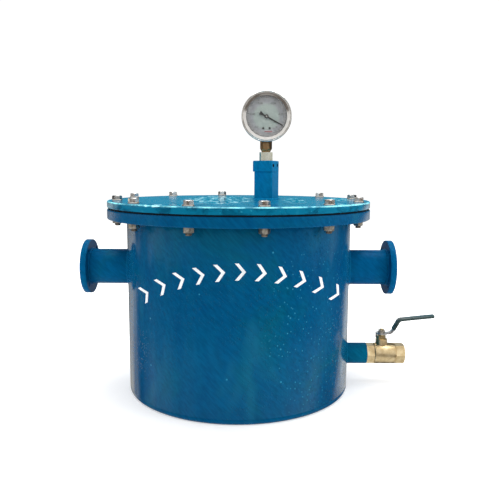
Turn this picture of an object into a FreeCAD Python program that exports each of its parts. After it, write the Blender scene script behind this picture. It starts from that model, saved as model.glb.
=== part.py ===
import FreeCAD, Part
import math
import os
import Sketcher

# Air water separator: a steel tank with a bolted lid, two flanged nozzles, a drain with a
# quarter-turn ball valve, and a pressure gauge on a square post.
# Millimetres. The tank axis is Z and the tank stands on Z = 0. The inlet is at -X, the outlet
# and the drain at +X, and the front of the gauge looks along -Y.

Vector = FreeCAD.Vector
TURN_Z = Vector(0, 0, 1)
TURN_Y = Vector(0, 1, 0)
GAUGE_AXIS = Vector(0, -1, 0)
SAME_PLACE = 1e-3  # millimetres

doc = FreeCAD.newDocument("air_water_separator")

# Driving sizes

SIZES = {
    # Vessel
    "tank_radius": 240,  # outside of the rolled shell
    "tank_wall": 6,  # shell plate
    "flange_rise": 130,  # sealing face of the body flange above the nozzle axis
    "shell_setback": 5,  # shell end below the sealing face
    "base_thickness": 10,  # flat bottom plate
    "base_edge": 3,  # bevelled lower edge of the bottom plate
    "fit_gap": 0.2,  # assembly clearance of plates set into the shell

    # Lid joint
    "flange_width": 39.5,  # body flange beyond the shell
    "flange_thickness": 20,  # body flange plate
    "gasket_setback": 2.5,  # gasket edge behind the flange edge
    "gasket_thickness": 3,  # flat gasket
    "lid_setback": 0.3,  # lid edge behind the flange edge
    "lid_thickness": 14,  # lid plate
    "plate_edge": 1.5,  # bevelled plate edges
    "bolt_offset": 18.5,  # bolt circle beyond the shell
    "bolt_count": 12,  # bolts round the lid
    "bolt_phase": -19,  # first bolt, degrees from the front towards +X
    "bolt_radius": 6,  # M12 shank
    "bolt_end": 4.7,  # thread beyond the nut
    "bolt_clearance": 1,  # round the bolts in the plates
    "bolt_flats": 18,  # across flats of head and nut
    "bolt_head": 7.5,  # height of the head
    "nut_height": 10.8,  # height of the nut
    "washer_width": 4.5,  # ring width of the washer
    "washer_clearance": 0.5,  # round the bolt in the washer
    "washer_thickness": 2.5,  # washer

    # Nozzles
    "nozzle_level": 259,  # axis of inlet and outlet
    "nozzle_radius": 38,  # outside of the pipe
    "nozzle_wall": 4,  # pipe wall
    "nozzle_length": 95,  # flange face beyond the shell
    "nozzle_inset": 10,  # pipe end inside the shell
    "nozzle_setback": 3,  # pipe end behind the flange face
    "nozzle_flange_width": 21,  # pipe flange beyond the pipe
    "nozzle_flange_thickness": 13,  # pipe flange
    "nozzle_bolt_offset": 11,  # bolt circle beyond the pipe
    "nozzle_bolts": 4,  # bolt holes
    "nozzle_bolt_hole": 5.5,  # bolt hole radius

    # Separating parts
    "baffle_thickness": 4,  # hanging baffle plate
    "baffle_skirt": 32,  # baffle below the lower grid
    "baffle_headroom": 1,  # gap under the lid
    "outlet_room": 28,  # top of the pad below the outlet pipe
    "grid_rim": 22,  # width of the rim bar
    "grid_thickness": 5,  # flat bar
    "grid_bar": 8,  # width of the cross bars
    "grid_bars": 5,  # cross bars
    "grid_spacing": 62,  # between the cross bars
    "pad_thickness": 60,  # knitted wire pad
    "pad_gap": 1,  # pad edge from the wall
    "tie_radius": 4,  # M8 tie bolt
    "tie_clearance": 0.5,  # round the tie bolts
    "tie_flats": 13,  # across flats
    "tie_head": 5.3,  # head height
    "tie_nut": 6.5,  # nut height
    "tie_end": 5,  # thread beyond the nut
    "tie_offset": 120,  # tie bolts on the straight rim, from the middle
    "tie_angle": 38,  # tie bolts on the round rim, degrees from the outlet axis

    # Drain
    "drain_level": 63.5,  # axis of the drain and valve
    "thread_radius": 16.6,  # one inch pipe thread
    "thread_gap": 0.05,  # radial clearance drawn in threads
    "socket_wall": 6.4,  # welded socket round the thread
    "socket_step": 1.6,  # plain bore inside the thread
    "socket_inset": 10,  # socket end inside the shell
    "socket_length": 45.5,  # socket beyond the shell
    "socket_thread_depth": 20,  # thread depth in the socket
    "nipple_wall": 3.6,  # close nipple
    "nipple_backoff": 1.5,  # nipple end from the thread run-out
    "joint_gap": 0.5,  # between the socket and the valve

    # Ball valve
    "port_radius": 11,  # flow bore
    "ball_cover": 6,  # ball beyond the port
    "cavity_gap": 2,  # chamber round the ball
    "seat_gap": 0.08,  # running clearance of ball and seats
    "seat_inset": 1.5,  # back of the seats inside the ball's outline
    "seat_thickness": 4.9,  # seat ring
    "seat_land": 2,  # seats behind the thread of the end cap
    "inlet_length": 18.5,  # body before the inlet seat
    "inlet_thread_depth": 14.5,  # thread depth at the inlet
    "hex_length": 16.5,  # inlet hexagon
    "hex_wall": 3.4,  # hexagon flats round the thread
    "barrel_wall": 4,  # turned body round the chamber
    "cap_thread_step": 1.5,  # end cap thread beyond the chamber
    "cap_thread_length": 12.5,  # end cap in the body
    "cap_length": 20,  # end cap outside the body
    "outlet_thread_depth": 18,  # thread depth at the outlet
    "slot_depth": 4.6,  # driving slot in the ball
    "tang_gap": 0.4,  # play of the tang in the slot
    "tang_thickness": 6,  # stem tang
    "tang_width": 12,  # stem tang across
    "stem_radius": 5,  # stem
    "stem_clearance": 0.06,  # running clearance of the stem
    "shoulder_width": 2,  # blow-out shoulder beyond the stem
    "shoulder_lift": 0.9,  # underside of the shoulder above the ball
    "shoulder_height": 2.8,  # blow-out shoulder
    "shoulder_gap": 0.3,  # round and over the shoulder
    "gland_floor": 3,  # body between shoulder and packing
    "gland_thread": 5.5,  # packing nut thread
    "packing_section": 4,  # width of the packing ring
    "packing_height": 4,  # packing ring
    "neck_wall": 4,  # body neck round the packing
    "packing_nut_flats": 17,  # across flats
    "packing_nut_height": 8,  # hexagon of the packing nut
    "stop_room": 0.6,  # stops clear of the packing nut
    "stop_half": 3,  # half the width of a stop
    "stop_root": 1,  # stops let into the neck
    "tab_half": 4,  # half the width of the tab
    "tab_lift": 2.5,  # tab end above the neck
    "stop_gap": 2.5,  # degrees of clearance at a stop

    # Lever
    "lever_lift": 3,  # lever above the packing nut
    "lever_thickness": 3,  # lever strip
    "lever_width": 15,  # lever strip
    "spindle_step": 1,  # threaded stem end inside the stem, M8
    "flat_depth": 0.8,  # flats that drive the lever
    "spindle_end": 2,  # thread beyond the nut
    "lever_nut_flats": 13,  # across flats
    "lever_nut_height": 6.5,  # height
    "lever_nut_turn": 15,  # degrees about Z
    "strip_start": 5,  # strip end inside the hub, from the stem axis
    "strip_run": 13,  # stem axis to the first bend
    "first_bend": 14,  # centre line radius of the first bend
    "rise_angle": 62,  # degrees of the rising part
    "rise_run": 21.4,  # straight rising part
    "second_bend": 10,  # centre line radius of the second bend
    "grip_angle": 6,  # degrees of the hand part above level
    "grip_run": 70,  # straight hand part
    "grip_start": 1,  # sleeve start along the rising part
    "grip_wall": 1.5,  # vinyl sleeve
    "grip_end": 3,  # closed end of the sleeve
    "grip_edge": 2.2,  # rounded long edges of the sleeve
    "grip_round": 5,  # rounded corners of the sleeve's end

    # Gauge post
    "post_x": 60.4,  # post centre
    "post_y": 42,  # post centre
    "post_turn": -23.5,  # degrees about Z
    "post_width": 43,  # square tube
    "post_wall": 3,  # tube wall
    "post_height": 61,  # above the lid
    "tapping_radius": 6,  # pressure hole in the lid
    "block_overhang": 2.4,  # past the post at two sides
    "block_floor": 5.6,  # coupling block under the plug
    "block_edge": 2.5,  # rounded upper edges
    "plug_radius": 13.5,  # plug of the adapter
    "plug_gap": 0.1,  # round the plug
    "plug_depth": 18,  # plug below the block top
    "plug_room": 0.4,  # under the plug
    "groove_depth": 2,  # groove for the staple
    "staple_rise": 4.9,  # staple axis above the seal ring
    "staple_radius": 2.8,  # staple wire
    "staple_gap": 0.15,  # round the wire
    "staple_short": 2,  # leg ends inside the right face
    "staple_crown": 4,  # crown centre inside the left face
    "staple_bend": 4,  # centre line radius of the bends
    "seal_rise": 2.6,  # seal ring centre above the plug end
    "seal_section": 1.2,  # half the section of the square seal ring
    "bleed_radius": 3,  # pressure bore

    # Gauge
    "adapter_flats": 26.5,  # hexagon adapter
    "adapter_turn": 12,  # degrees about Z
    "adapter_height": 18.6,  # hexagon above the block
    "adapter_thread": 10,  # gauge thread radius, M20
    "adapter_thread_depth": 14,  # depth in the adapter
    "socket_flats": 23,  # spanner hexagon of the gauge
    "gauge_neck": 24.2,  # spanner hexagon between adapter and case
    "socket_cone": 8,  # tapered lower end
    "socket_foot": 9,  # radius at the lower end
    "case_radius": 52,  # gauge case
    "case_wall": 1.5,  # case sheet
    "case_back": 18,  # case back behind the stem axis
    "case_edge": 4,  # sloping back edge
    "bezel_overhang": 2.5,  # front ring beyond the case
    "bezel_width": 9,  # front ring to its opening
    "bezel_depth": 13,  # front ring from front to back
    "bezel_lip": 2,  # front lip
    "bezel_slope": 2.5,  # width of the sloping edges of the ring
    "window_gap": 0.5,  # glass edge inside the case radius
    "window_thickness": 3,  # glass
    "window_seat": 3,  # width of the window gasket
    "seat_thickness_front": 2,  # window gasket
    "neck_hole": 9.2,  # socket hole in the case
    "neck_step": 2,  # round neck inside the case
    "head_width": 24,  # socket head in the case
    "head_top": 22,  # head top below the dial centre
    "head_front": 6,  # head front before the stem axis
    "head_back": 8,  # head back behind the stem axis
    "head_roof": 8,  # solid metal over the pressure bore
    "relief_radius": 7,  # relief plug in the back
    "relief_rise": 28,  # relief plug above the dial centre
    "relief_lip": 2,  # lips of the relief plug beyond its hole
    "relief_inner_lip": 1,  # thickness of the inner lip
    "relief_outer_lip": 1.5,  # thickness of the outer lip

    # Movement
    "plate_thickness": 1.2,  # movement plates
    "plate_half": 12,  # half the plate width
    "plate_top": 12,  # above the dial centre
    "plate_bottom": 36,  # below the dial centre
    "pillar_length": 6,  # between the plates
    "pillar_radius": 1.8,  # pillars
    "pillar_inset": 2.7,  # pillars and rounded corners from the plate edges
    "dial_gap": 2.5,  # dial plate from the case
    "dial_thickness": 0.8,  # dial plate
    "dial_hole": 1.5,  # hole for the arbor
    "dial_room": 4.8,  # dial face to the case rim
    "dial_screw_spread": 7,  # screws from the middle
    "dial_screw_drop": 25,  # screws below the dial centre
    "dial_screw_head": 2.4,  # head radius
    "dial_screw_height": 1.4,  # head height
    "dial_screw_shank": 1.2,  # shank radius
    "tooth_module": 0.4,  # gear module
    "pressure_angle": 20,  # degrees
    "pinion_teeth": 12,  # teeth of the pinion
    "sector_teeth": 108,  # teeth of the full wheel that the sector is cut from
    "sector_cut": 15,  # teeth on the sector
    "tooth_height": 0.7,  # addendum in modules
    "tooth_depth": 1.0,  # dedendum in modules
    "tooth_backlash": 0.05,  # flank clearance
    "gear_width": 1.2,  # sector plate
    "sector_rim": 2,  # rim behind the pitch line
    "sector_hub": 3,  # hub radius
    "sector_taper": 0.8,  # arm width at the rim as a share of the toothed arc
    "sector_window": 0.5,  # window width at the rim as a share of the toothed arc
    "window_border": 3.1,  # rim left outside the window
    "window_start": 5.4,  # window tip above the pivot
    "tail_half": 1.8,  # half the width of the tail
    "tail_length": 11,  # sector tail
    "pinion_width": 3,  # pinion face
    "arbor_radius": 0.9,  # pivots
    "pivot_gap": 0.06,  # running clearance of the pivots
    "dial_zero": 118.6,  # pointer at rest, degrees clockwise from the top
    "pointer_length": 40,  # tip radius
    "pointer_tail": 16.6,  # tail radius
    "pointer_root": 1.9,  # half width at the hub
    "pointer_waist": 1.2,  # half width at the waist of the tail
    "pointer_waist_place": 5.6,  # waist from the hub
    "pointer_fin": 4.6,  # half width at the tail end
    "pointer_tip": 1.1,  # half width at the tip
    "pointer_lift": 3.2,  # blade front above the dial
    "pointer_thickness": 0.7,  # blade
    "pointer_hub": 3,  # hub radius
    "hub_lift": 0.8,  # hub above the dial
    "link_lift": 1.7,  # link middle before the sector middle
    "link_thickness": 0.96,  # link strip
    "tube_room": 13.5,  # middle of the bent tube from the case wall
    "tube_start": 72,  # tube start below +X, degrees
    "tube_sweep": 277,  # tube arc, degrees
    "tube_across": 6,  # radial thickness of the flat tube
    "tube_deep": 13,  # depth of the flat tube
    "tube_corner": 2,  # bevelled corners of the flat tube
    "tube_wall": 0.8,  # tube wall
    "tip_length": 8,  # tip block
    "tip_pin": 1.2,  # link pivot from the tube end
    "tip_inset": 1.3,  # link pivot inside the middle of the tube
}

# Levels and places that follow from the driving sizes

PLACES = {
    "shell_bore": "size.tank_radius - size.tank_wall",
    "flange_level": "size.nozzle_level + size.flange_rise",
    "flange_bottom": "flange_level - size.flange_thickness",
    "flange_radius": "size.tank_radius + size.flange_width",
    "lid_radius": "flange_radius - size.lid_setback",
    "lid_bottom": "flange_level + size.gasket_thickness",
    "lid_top": "lid_bottom + size.lid_thickness",
    "pitch_radius": "size.tank_radius + size.bolt_offset",
    "bolt_hole_radius": "size.bolt_radius + size.bolt_clearance",
    "washer_hole": "size.bolt_radius + size.washer_clearance",
    "washer_radius": "washer_hole + size.washer_width",
    "head_seat": "lid_top + size.washer_thickness",
    "bolt_length": "head_seat - flange_bottom + size.nut_height + size.bolt_end",

    "nozzle_reach": "size.tank_radius + size.nozzle_length",
    "nozzle_inside": "shell_bore - size.nozzle_inset",
    "nozzle_flange_radius": "size.nozzle_radius + size.nozzle_flange_width",
    "nozzle_pitch_radius": "size.nozzle_radius + size.nozzle_bolt_offset",

    "pad_top": "size.nozzle_level - size.nozzle_radius - size.outlet_room",
    "pad_bottom": "pad_top - size.pad_thickness",
    "grid_level": "pad_bottom - size.grid_thickness",
    "baffle_bottom": "grid_level - size.baffle_skirt",
    "half_baffle": "size.baffle_thickness / 2",
    "grid_radius": "shell_bore - size.fit_gap",
    "grid_edge": "half_baffle + size.fit_gap",
    "tie_hole": "size.tie_radius + size.tie_clearance",

    "socket_radius": "size.thread_radius + size.socket_wall",
    "socket_bore": "size.thread_radius - size.socket_step",
    "socket_inside": "shell_bore - size.socket_inset",
    "socket_end": "size.tank_radius + size.socket_length",
    "nipple_bore": "size.thread_radius - size.nipple_wall",

    "ball_radius": "size.port_radius + size.ball_cover",
    "cavity_radius": "ball_radius + size.cavity_gap",
    "seat_back": "ball_radius - size.seat_inset",
    "seat_front": "seat_back - size.seat_thickness",
    "valve_start": "seat_back + size.inlet_length",
    "stem_place": "socket_end + size.joint_gap + valve_start",
    "valve_flats": "2 * (size.thread_radius + size.hex_wall)",
    "barrel_radius": "cavity_radius + size.barrel_wall",
    "cap_thread_radius": "cavity_radius + size.cap_thread_step",
    "cap_thread_start": "seat_back + size.seat_land",
    "barrel_end": "cap_thread_start + size.cap_thread_length",
    "valve_end": "barrel_end + size.cap_length",
    "slot_floor": "ball_radius - size.slot_depth",
    "slot_width": "size.tang_thickness + size.tang_gap",
    "tang_bottom": "slot_floor + size.tang_gap",
    "shoulder_radius": "size.stem_radius + size.shoulder_width",
    "shoulder_bottom": "ball_radius + size.shoulder_lift",
    "shoulder_top": "shoulder_bottom + size.shoulder_height",
    "shoulder_pocket_top": "shoulder_top + size.shoulder_gap",
    "packing_radius": "size.stem_radius + size.packing_section",
    "packing_bottom": "shoulder_pocket_top + size.gland_floor",
    "packing_top": "packing_bottom + size.packing_height",
    "neck_radius": "packing_radius + size.neck_wall",
    "neck_top": "packing_top + size.gland_thread",
    "packing_nut_top": "neck_top + size.packing_nut_height",
    "stop_inner": "size.packing_nut_flats / 2 / cos(30) + size.stop_room",
    "tab_bottom": "neck_top + size.tab_lift",
    "lever_level": "packing_nut_top + size.lever_lift",
    "lever_top": "lever_level + size.lever_thickness",
    "spindle_radius": "size.stem_radius - size.spindle_step",
    "spindle_flats": "2 * (spindle_radius - size.flat_depth)",
    "spindle_top": "lever_top + size.lever_nut_height + size.spindle_end",

    "block_base": "lid_top + size.post_height",
    "block_height": "size.plug_depth + size.plug_room + size.block_floor",
    "block_top": "block_base + block_height",
    "block_width": "size.post_width + size.block_overhang",
    "block_x": "size.post_x - size.block_overhang / 2 * (cos(size.post_turn) - sin(size.post_turn))",
    "block_y": "size.post_y - size.block_overhang / 2 * (cos(size.post_turn) + sin(size.post_turn))",
    "plug_floor": "size.plug_depth + size.plug_room",
    "plug_groove": "size.plug_radius - size.groove_depth",
    "seal_drop": "size.plug_depth - size.seal_rise",
    "staple_drop": "seal_drop - size.staple_rise",
    "adapter_top": "block_top + size.adapter_height",

    "gauge_rise": "size.gauge_neck + size.case_radius",
    "gauge_level": "adapter_top + gauge_rise",
    "back_plate_front": "size.head_front + size.plate_thickness",
    "front_plate_back": "back_plate_front + size.pillar_length",
    "dial_back": "front_plate_back + size.plate_thickness",
    "dial_front": "dial_back + size.dial_thickness",
    "dial_radius": "size.case_radius - size.case_wall - size.dial_gap",
    "case_front": "dial_front + size.dial_room",
    "window_back": "case_front + size.seat_thickness_front",
    "bezel_front": "window_back + size.window_thickness + size.bezel_lip",
    "bezel_skirt": "bezel_front - size.bezel_depth",
    "bezel_radius": "size.case_radius + size.bezel_overhang",
    "bezel_opening": "bezel_radius - size.bezel_width",
    "window_radius": "size.case_radius - size.window_gap",
    "window_seat_inner": "window_radius - size.window_seat",

    "gear_plane": "(back_plate_front + front_plate_back) / 2",
    "link_plane": "gear_plane + size.link_lift",
    "pointer_plane": "dial_front + size.pointer_lift",
    "gear_centres": "size.tooth_module * (size.pinion_teeth + size.sector_teeth) / 2",
    "sector_rest": "size.dial_zero * size.pinion_teeth / size.sector_teeth",
    "tail_x": "-size.tail_length * cos(sector_rest)",
    "tail_z": "-gear_centres - size.tail_length * sin(sector_rest)",
    "tube_radius": "size.case_radius - size.case_wall - size.tube_room",
    "tube_turn": "size.tube_sweep - size.tube_start",
    "tip_x": "(tube_radius - size.tip_inset) * cos(tube_turn) - size.tip_pin * sin(tube_turn)",
    "tip_z": "(tube_radius - size.tip_inset) * sin(tube_turn) + size.tip_pin * cos(tube_turn)",
    "link_length": "sqrt((tip_x - tail_x) ^ 2 + (tip_z - tail_z) ^ 2)",
}


def fill_sheet(name, rows):
    """A spreadsheet with one alias and its value or formula in each row."""
    sheet = doc.addObject("Spreadsheet::Sheet", name)
    for row, (alias, content) in enumerate(rows.items(), 1):
        sheet.set(f"A{row}", alias)
        sheet.set(f"B{row}", content)
        sheet.setAlias(f"B{row}", alias)
    doc.recompute()
    return sheet


size = fill_sheet("size", {alias: str(value) for alias, value in SIZES.items()})
place = fill_sheet("place", {alias: "=" + formula for alias, formula in PLACES.items()})


# Shared ways of drawing and building

def number(expression):
    """The value of an expression, in millimetres or degrees."""
    result = size.evalExpression(expression)
    return float(getattr(result, "Value", result))


def new_body(label, x="0", y="0", z="0", turn="0", about=TURN_Z):
    """An empty body at a place that follows the sheet."""
    body = doc.addObject("PartDesign::Body", label)
    body.Label = label
    body.AllowCompound = True
    body.Placement = FreeCAD.Placement(Vector(), FreeCAD.Rotation(about, number(turn)))
    for axis, expression in (("x", x), ("y", y), ("z", z)):
        body.setExpression("Placement.Base." + axis, expression)
    return body


def new_sketch(body, plane, lift=None):
    """A sketch on an origin plane of its own body, lifted along the plane's normal."""
    sketch = body.newObject("Sketcher::SketchObject", body.Name + "_sketch")
    support = next(item for item in body.Origin.OriginFeatures if item.Role == plane + "_Plane")
    sketch.AttachmentSupport = [(support, "")]
    sketch.MapMode = "FlatFace"
    if lift:
        sketch.setExpression("AttachmentOffset.Base.z", lift)
    return sketch


def bind(sketch, constraint, expression):
    index = sketch.addConstraint(constraint)
    sketch.setExpression(f"Constraints[{index}]", expression)


def fix_point(sketch, line, end, x, y):
    bind(sketch, Sketcher.Constraint("DistanceX", -1, 1, line, end, number(x)), x)
    bind(sketch, Sketcher.Constraint("DistanceY", -1, 1, line, end, number(y)), y)


def draw_outline(sketch, corners):
    """A closed outline. A corner is (x, y), or (x, y, radius, side) where the edge that
    leaves it is an arc with its centre on that side of the way round."""
    first = sketch.GeometryCount
    ends = []
    for index, corner in enumerate(corners):
        after = corners[(index + 1) % len(corners)]
        start = Vector(number(corner[0]), number(corner[1]), 0)
        finish = Vector(number(after[0]), number(after[1]), 0)
        if len(corner) == 2:
            sketch.addGeometry(Part.LineSegment(start, finish), False)
            ends.append((1, 2))
            continue
        radius = number(corner[2])
        side = 1 if corner[3] == "left" else -1
        chord = finish - start
        rise = math.sqrt(max(radius ** 2 - chord.Length ** 2 / 4, 0))
        normal = Vector(-chord.y, chord.x, 0).normalize()
        centre = (start + finish) / 2 + normal * (side * rise)
        angles = [math.atan2(p.y - centre.y, p.x - centre.x) for p in (start, finish)]
        if side < 0:
            angles.reverse()
        circle = Part.Circle(centre, TURN_Z, radius)
        line = sketch.addGeometry(Part.ArcOfCircle(circle, angles[0], angles[1]), False)
        bind(sketch, Sketcher.Constraint("Radius", line, radius), corner[2])
        ends.append((1, 2) if side > 0 else (2, 1))
    for index, corner in enumerate(corners):
        following = (index + 1) % len(corners)
        join = Sketcher.Constraint(
            "Coincident", first + index, ends[index][1], first + following, ends[following][0]
        )
        sketch.addConstraint(join)
        fix_point(sketch, first + index, ends[index][0], corner[0], corner[1])


def draw_circle(sketch, x, y, radius):
    centre = Vector(number(x), number(y), 0)
    line = sketch.addGeometry(Part.Circle(centre, TURN_Z, number(radius)), False)
    fix_point(sketch, line, 3, x, y)
    bind(sketch, Sketcher.Constraint("Radius", line, number(radius)), radius)


def draw_hexagon(sketch, flats, x="0", y="0", turn="0"):
    """A hexagon with a flat towards +X, turned by an angle in degrees."""
    corners = []
    reach = f"({flats}) / 2 / cos(30)"
    for corner in range(6):
        angle = f"{turn} + {30 + 60 * corner}"
        corners.append((f"{x} + {reach} * cos({angle})", f"{y} + {reach} * sin({angle})"))
    draw_outline(sketch, corners)


def rectangle(x0, y0, x1, y1):
    return [(x0, y0), (x1, y0), (x1, y1), (x0, y1)]


def extrude(body, kind, sketch, length, reverse=False, middle=False):
    feature = body.newObject("PartDesign::" + kind, f"{body.Name}_{kind}")
    feature.Profile = sketch
    feature.Reversed = reverse
    if middle:
        feature.SideType = "Symmetric"
    feature.setExpression("Length", length)
    return feature


def pad(body, sketch, length, **options):
    return extrude(body, "Pad", sketch, length, **options)


def pocket(body, sketch, length, **options):
    return extrude(body, "Pocket", sketch, length, **options)


def cut_through(body, sketch):
    """A cut right through, both ways from the sketch."""
    feature = body.newObject("PartDesign::Pocket", body.Name + "_cut")
    feature.Profile = sketch
    feature.Type = "ThroughAll"
    feature.SideType = "Symmetric"
    return feature


def spin(body, plane, corners, axis="V_Axis", kind="Revolution", angle=None, reverse=False):
    """A turned shape, or a turned cut, about one axis of its sketch."""
    sketch = new_sketch(body, plane)
    draw_outline(sketch, corners)
    feature = body.newObject("PartDesign::" + kind, f"{body.Name}_{kind}")
    feature.Profile = sketch
    feature.ReferenceAxis = (sketch, [axis])
    feature.Reversed = reverse
    feature.Angle = 360
    if angle:
        feature.setExpression("Angle", angle)
    return feature


def repeat_round(body, features, count, axis="Z_Axis"):
    """Copies of features evenly round an axis of the body."""
    pattern = body.newObject("PartDesign::PolarPattern", body.Name + "_ring")
    pattern.Originals = features
    line = next(item for item in body.Origin.OriginFeatures if item.Role == axis)
    pattern.Axis = (line, [""])
    pattern.Angle = 360
    pattern.setExpression("Occurrences", count)
    body.Tip = pattern
    return pattern


def soften(body, radius, chosen, kind="Fillet"):
    """Round or chamfer the edges of the body's last shape that a test picks."""
    doc.recompute()
    base = body.Tip
    names = [f"Edge{i}" for i, edge in enumerate(base.Shape.Edges, 1) if chosen(edge)]
    if not names:
        raise RuntimeError("no edge found to soften on " + body.Label)
    feature = body.newObject("PartDesign::" + kind, f"{body.Name}_{kind}")
    feature.Base = (base, names)
    feature.setExpression("Radius" if kind == "Fillet" else "Size", radius)
    return feature


def is_circle(edge, radius, level):
    """Whether an edge is part of a level circle of this radius at this height."""
    if edge.Curve.TypeId != "Part::GeomCircle":
        return False
    middle = edge.Curve.Center.z
    same_radius = abs(edge.Curve.Radius - number(radius)) < SAME_PLACE
    return same_radius and abs(middle - number(level)) < SAME_PLACE


def ring_section(inner, outer, low, high):
    return rectangle(inner, low, outer, high)


def on_circle(radius, angle):
    """A place on a circle, with the angle counted from the front towards +X."""
    return (f"{radius} * sin({angle})", f"-({radius}) * cos({angle})")


# Tank

def make_bottom_plate():
    body = new_body("bottom_plate")
    spin(body, "XZ", ring_section("0", "size.tank_radius", "0", "size.base_thickness"))
    soften(body, "size.base_edge", lambda edge: is_circle(edge, "size.tank_radius", "0"), "Chamfer")


def make_tank_shell():
    body = new_body("tank_shell")
    shell_top = "place.flange_level - size.shell_setback"
    wall = ring_section("place.shell_bore", "size.tank_radius", "size.base_thickness", shell_top)
    spin(body, "XZ", wall)
    nozzles = new_sketch(body, "YZ")
    draw_circle(nozzles, "0", "size.nozzle_level", "size.nozzle_radius")
    cut_through(body, nozzles)
    drain = new_sketch(body, "YZ")
    draw_circle(drain, "0", "size.drain_level", "place.socket_radius")
    pocket(body, drain, "size.tank_radius + size.tank_wall", reverse=True)


def drill_bolt_circle(body, level):
    hole = new_sketch(body, "XY", level)
    x, y = on_circle("place.pitch_radius", "size.bolt_phase")
    draw_circle(hole, x, y, "place.bolt_hole_radius")
    first = cut_through(body, hole)
    return repeat_round(body, [first], "size.bolt_count")


def bevel_rim(body, radius, low, high):
    """Ground bevels on both outer edges of a round plate."""
    def on_rim(edge):
        return is_circle(edge, radius, low) or is_circle(edge, radius, high)

    soften(body, "size.plate_edge", on_rim, "Chamfer")


def make_body_flange():
    body = new_body("body_flange")
    section = ring_section("size.tank_radius", "place.flange_radius",
                           "place.flange_bottom", "place.flange_level")
    spin(body, "XZ", section)
    bevel_rim(body, "place.flange_radius", "place.flange_bottom", "place.flange_level")
    drill_bolt_circle(body, "place.flange_bottom")


def make_lid_gasket():
    body = new_body("lid_gasket")
    outer = "place.flange_radius - size.gasket_setback"
    section = ring_section("size.tank_radius", outer, "place.flange_level", "place.lid_bottom")
    spin(body, "XZ", section)
    drill_bolt_circle(body, "place.flange_level")


def make_lid():
    body = new_body("lid")
    spin(body, "XZ", ring_section("0", "place.lid_radius", "place.lid_bottom", "place.lid_top"))
    bevel_rim(body, "place.lid_radius", "place.lid_bottom", "place.lid_top")
    drill_bolt_circle(body, "place.lid_bottom")
    tapping = new_sketch(body, "XY", "place.lid_bottom")
    draw_circle(tapping, "place.block_x", "place.block_y", "size.tapping_radius")
    body.Tip = cut_through(body, tapping)


def hex_solid(body, plane, lift, length, flats, x="0", y="0", hole=None, turn="0", reverse=False):
    """A hexagonal prism, with a round hole where one is given."""
    sketch = new_sketch(body, plane, lift)
    draw_hexagon(sketch, flats, x, y, turn)
    if hole:
        draw_circle(sketch, x, y, hole)
    return pad(body, sketch, length, reverse=reverse)


def make_lid_bolts():
    x, y = on_circle("place.pitch_radius", "size.bolt_phase")
    bolts = new_body("lid_bolts")
    head = hex_solid(bolts, "XY", "place.head_seat", "size.bolt_head", "size.bolt_flats", x, y)
    shank = new_sketch(bolts, "XY", "place.head_seat")
    draw_circle(shank, x, y, "size.bolt_radius")
    body_of_bolt = pad(bolts, shank, "place.bolt_length", reverse=True)
    repeat_round(bolts, [head, body_of_bolt], "size.bolt_count")

    washers = new_body("lid_washers")
    sketch = new_sketch(washers, "XY", "place.lid_top")
    draw_circle(sketch, x, y, "place.washer_radius")
    draw_circle(sketch, x, y, "place.washer_hole")
    washer = pad(washers, sketch, "size.washer_thickness")
    repeat_round(washers, [washer], "size.bolt_count")

    nuts = new_body("lid_nuts")
    nut = hex_solid(nuts, "XY", "place.flange_bottom", "size.nut_height", "size.bolt_flats", x, y,
                    hole="size.bolt_radius + size.thread_gap", reverse=True)
    repeat_round(nuts, [nut], "size.bolt_count")


# Inlet and outlet, which differ only in the side of the tank

def make_nozzle(name, side):
    pipe = new_body(name + "_pipe", z="size.nozzle_level")
    inner = "size.nozzle_radius - size.nozzle_wall"
    start = f"{side} * place.nozzle_inside"
    finish = f"{side} * (place.nozzle_reach - size.nozzle_setback)"
    spin(pipe, "XZ", rectangle(start, inner, finish, "size.nozzle_radius"), axis="H_Axis")

    flange = new_body(name + "_flange", z="size.nozzle_level")
    back = f"{side} * (place.nozzle_reach - size.nozzle_flange_thickness)"
    face = f"{side} * place.nozzle_reach"
    section = rectangle(back, "size.nozzle_radius", face, "place.nozzle_flange_radius")
    spin(flange, "XZ", section, axis="H_Axis")
    hole = new_sketch(flange, "YZ")
    across = "place.nozzle_pitch_radius * cos(180 / size.nozzle_bolts)"
    up = "place.nozzle_pitch_radius * sin(180 / size.nozzle_bolts)"
    draw_circle(hole, across, up, "size.nozzle_bolt_hole")
    first = cut_through(flange, hole)
    repeat_round(flange, [first], "size.nozzle_bolts", axis="X_Axis")


# Baffle and demister on the outlet side

def make_baffle_plate():
    body = new_body("baffle_plate")
    sketch = new_sketch(body, "YZ")
    top = "place.lid_bottom - size.baffle_headroom"
    reach = "place.grid_radius"
    draw_outline(sketch, rectangle("-" + reach, "place.baffle_bottom", reach, top))
    pad(body, sketch, "size.baffle_thickness", middle=True)


def half_disc(radius, edge):
    """The part of a disc on the +X side of a line at this distance from the middle."""
    reach = f"sqrt(({radius}) ^ 2 - ({edge}) ^ 2)"
    return [(edge, "-" + reach, radius, "left"), (edge, reach)]


def tie_places():
    straight = "place.grid_edge + size.grid_rim / 2"
    middle = "(place.grid_radius - size.grid_rim / 2)"
    places = []
    for sign in ("-1", "1"):
        places.append((straight, f"{sign} * size.tie_offset"))
        across = f"{sign} * {middle} * sin(size.tie_angle)"
        places.append((f"{middle} * cos(size.tie_angle)", across))
    return places


def drill_ties(body, level):
    holes = new_sketch(body, "XY", level)
    for x, y in tie_places():
        draw_circle(holes, x, y, "place.tie_hole")
    return cut_through(body, holes)


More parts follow.
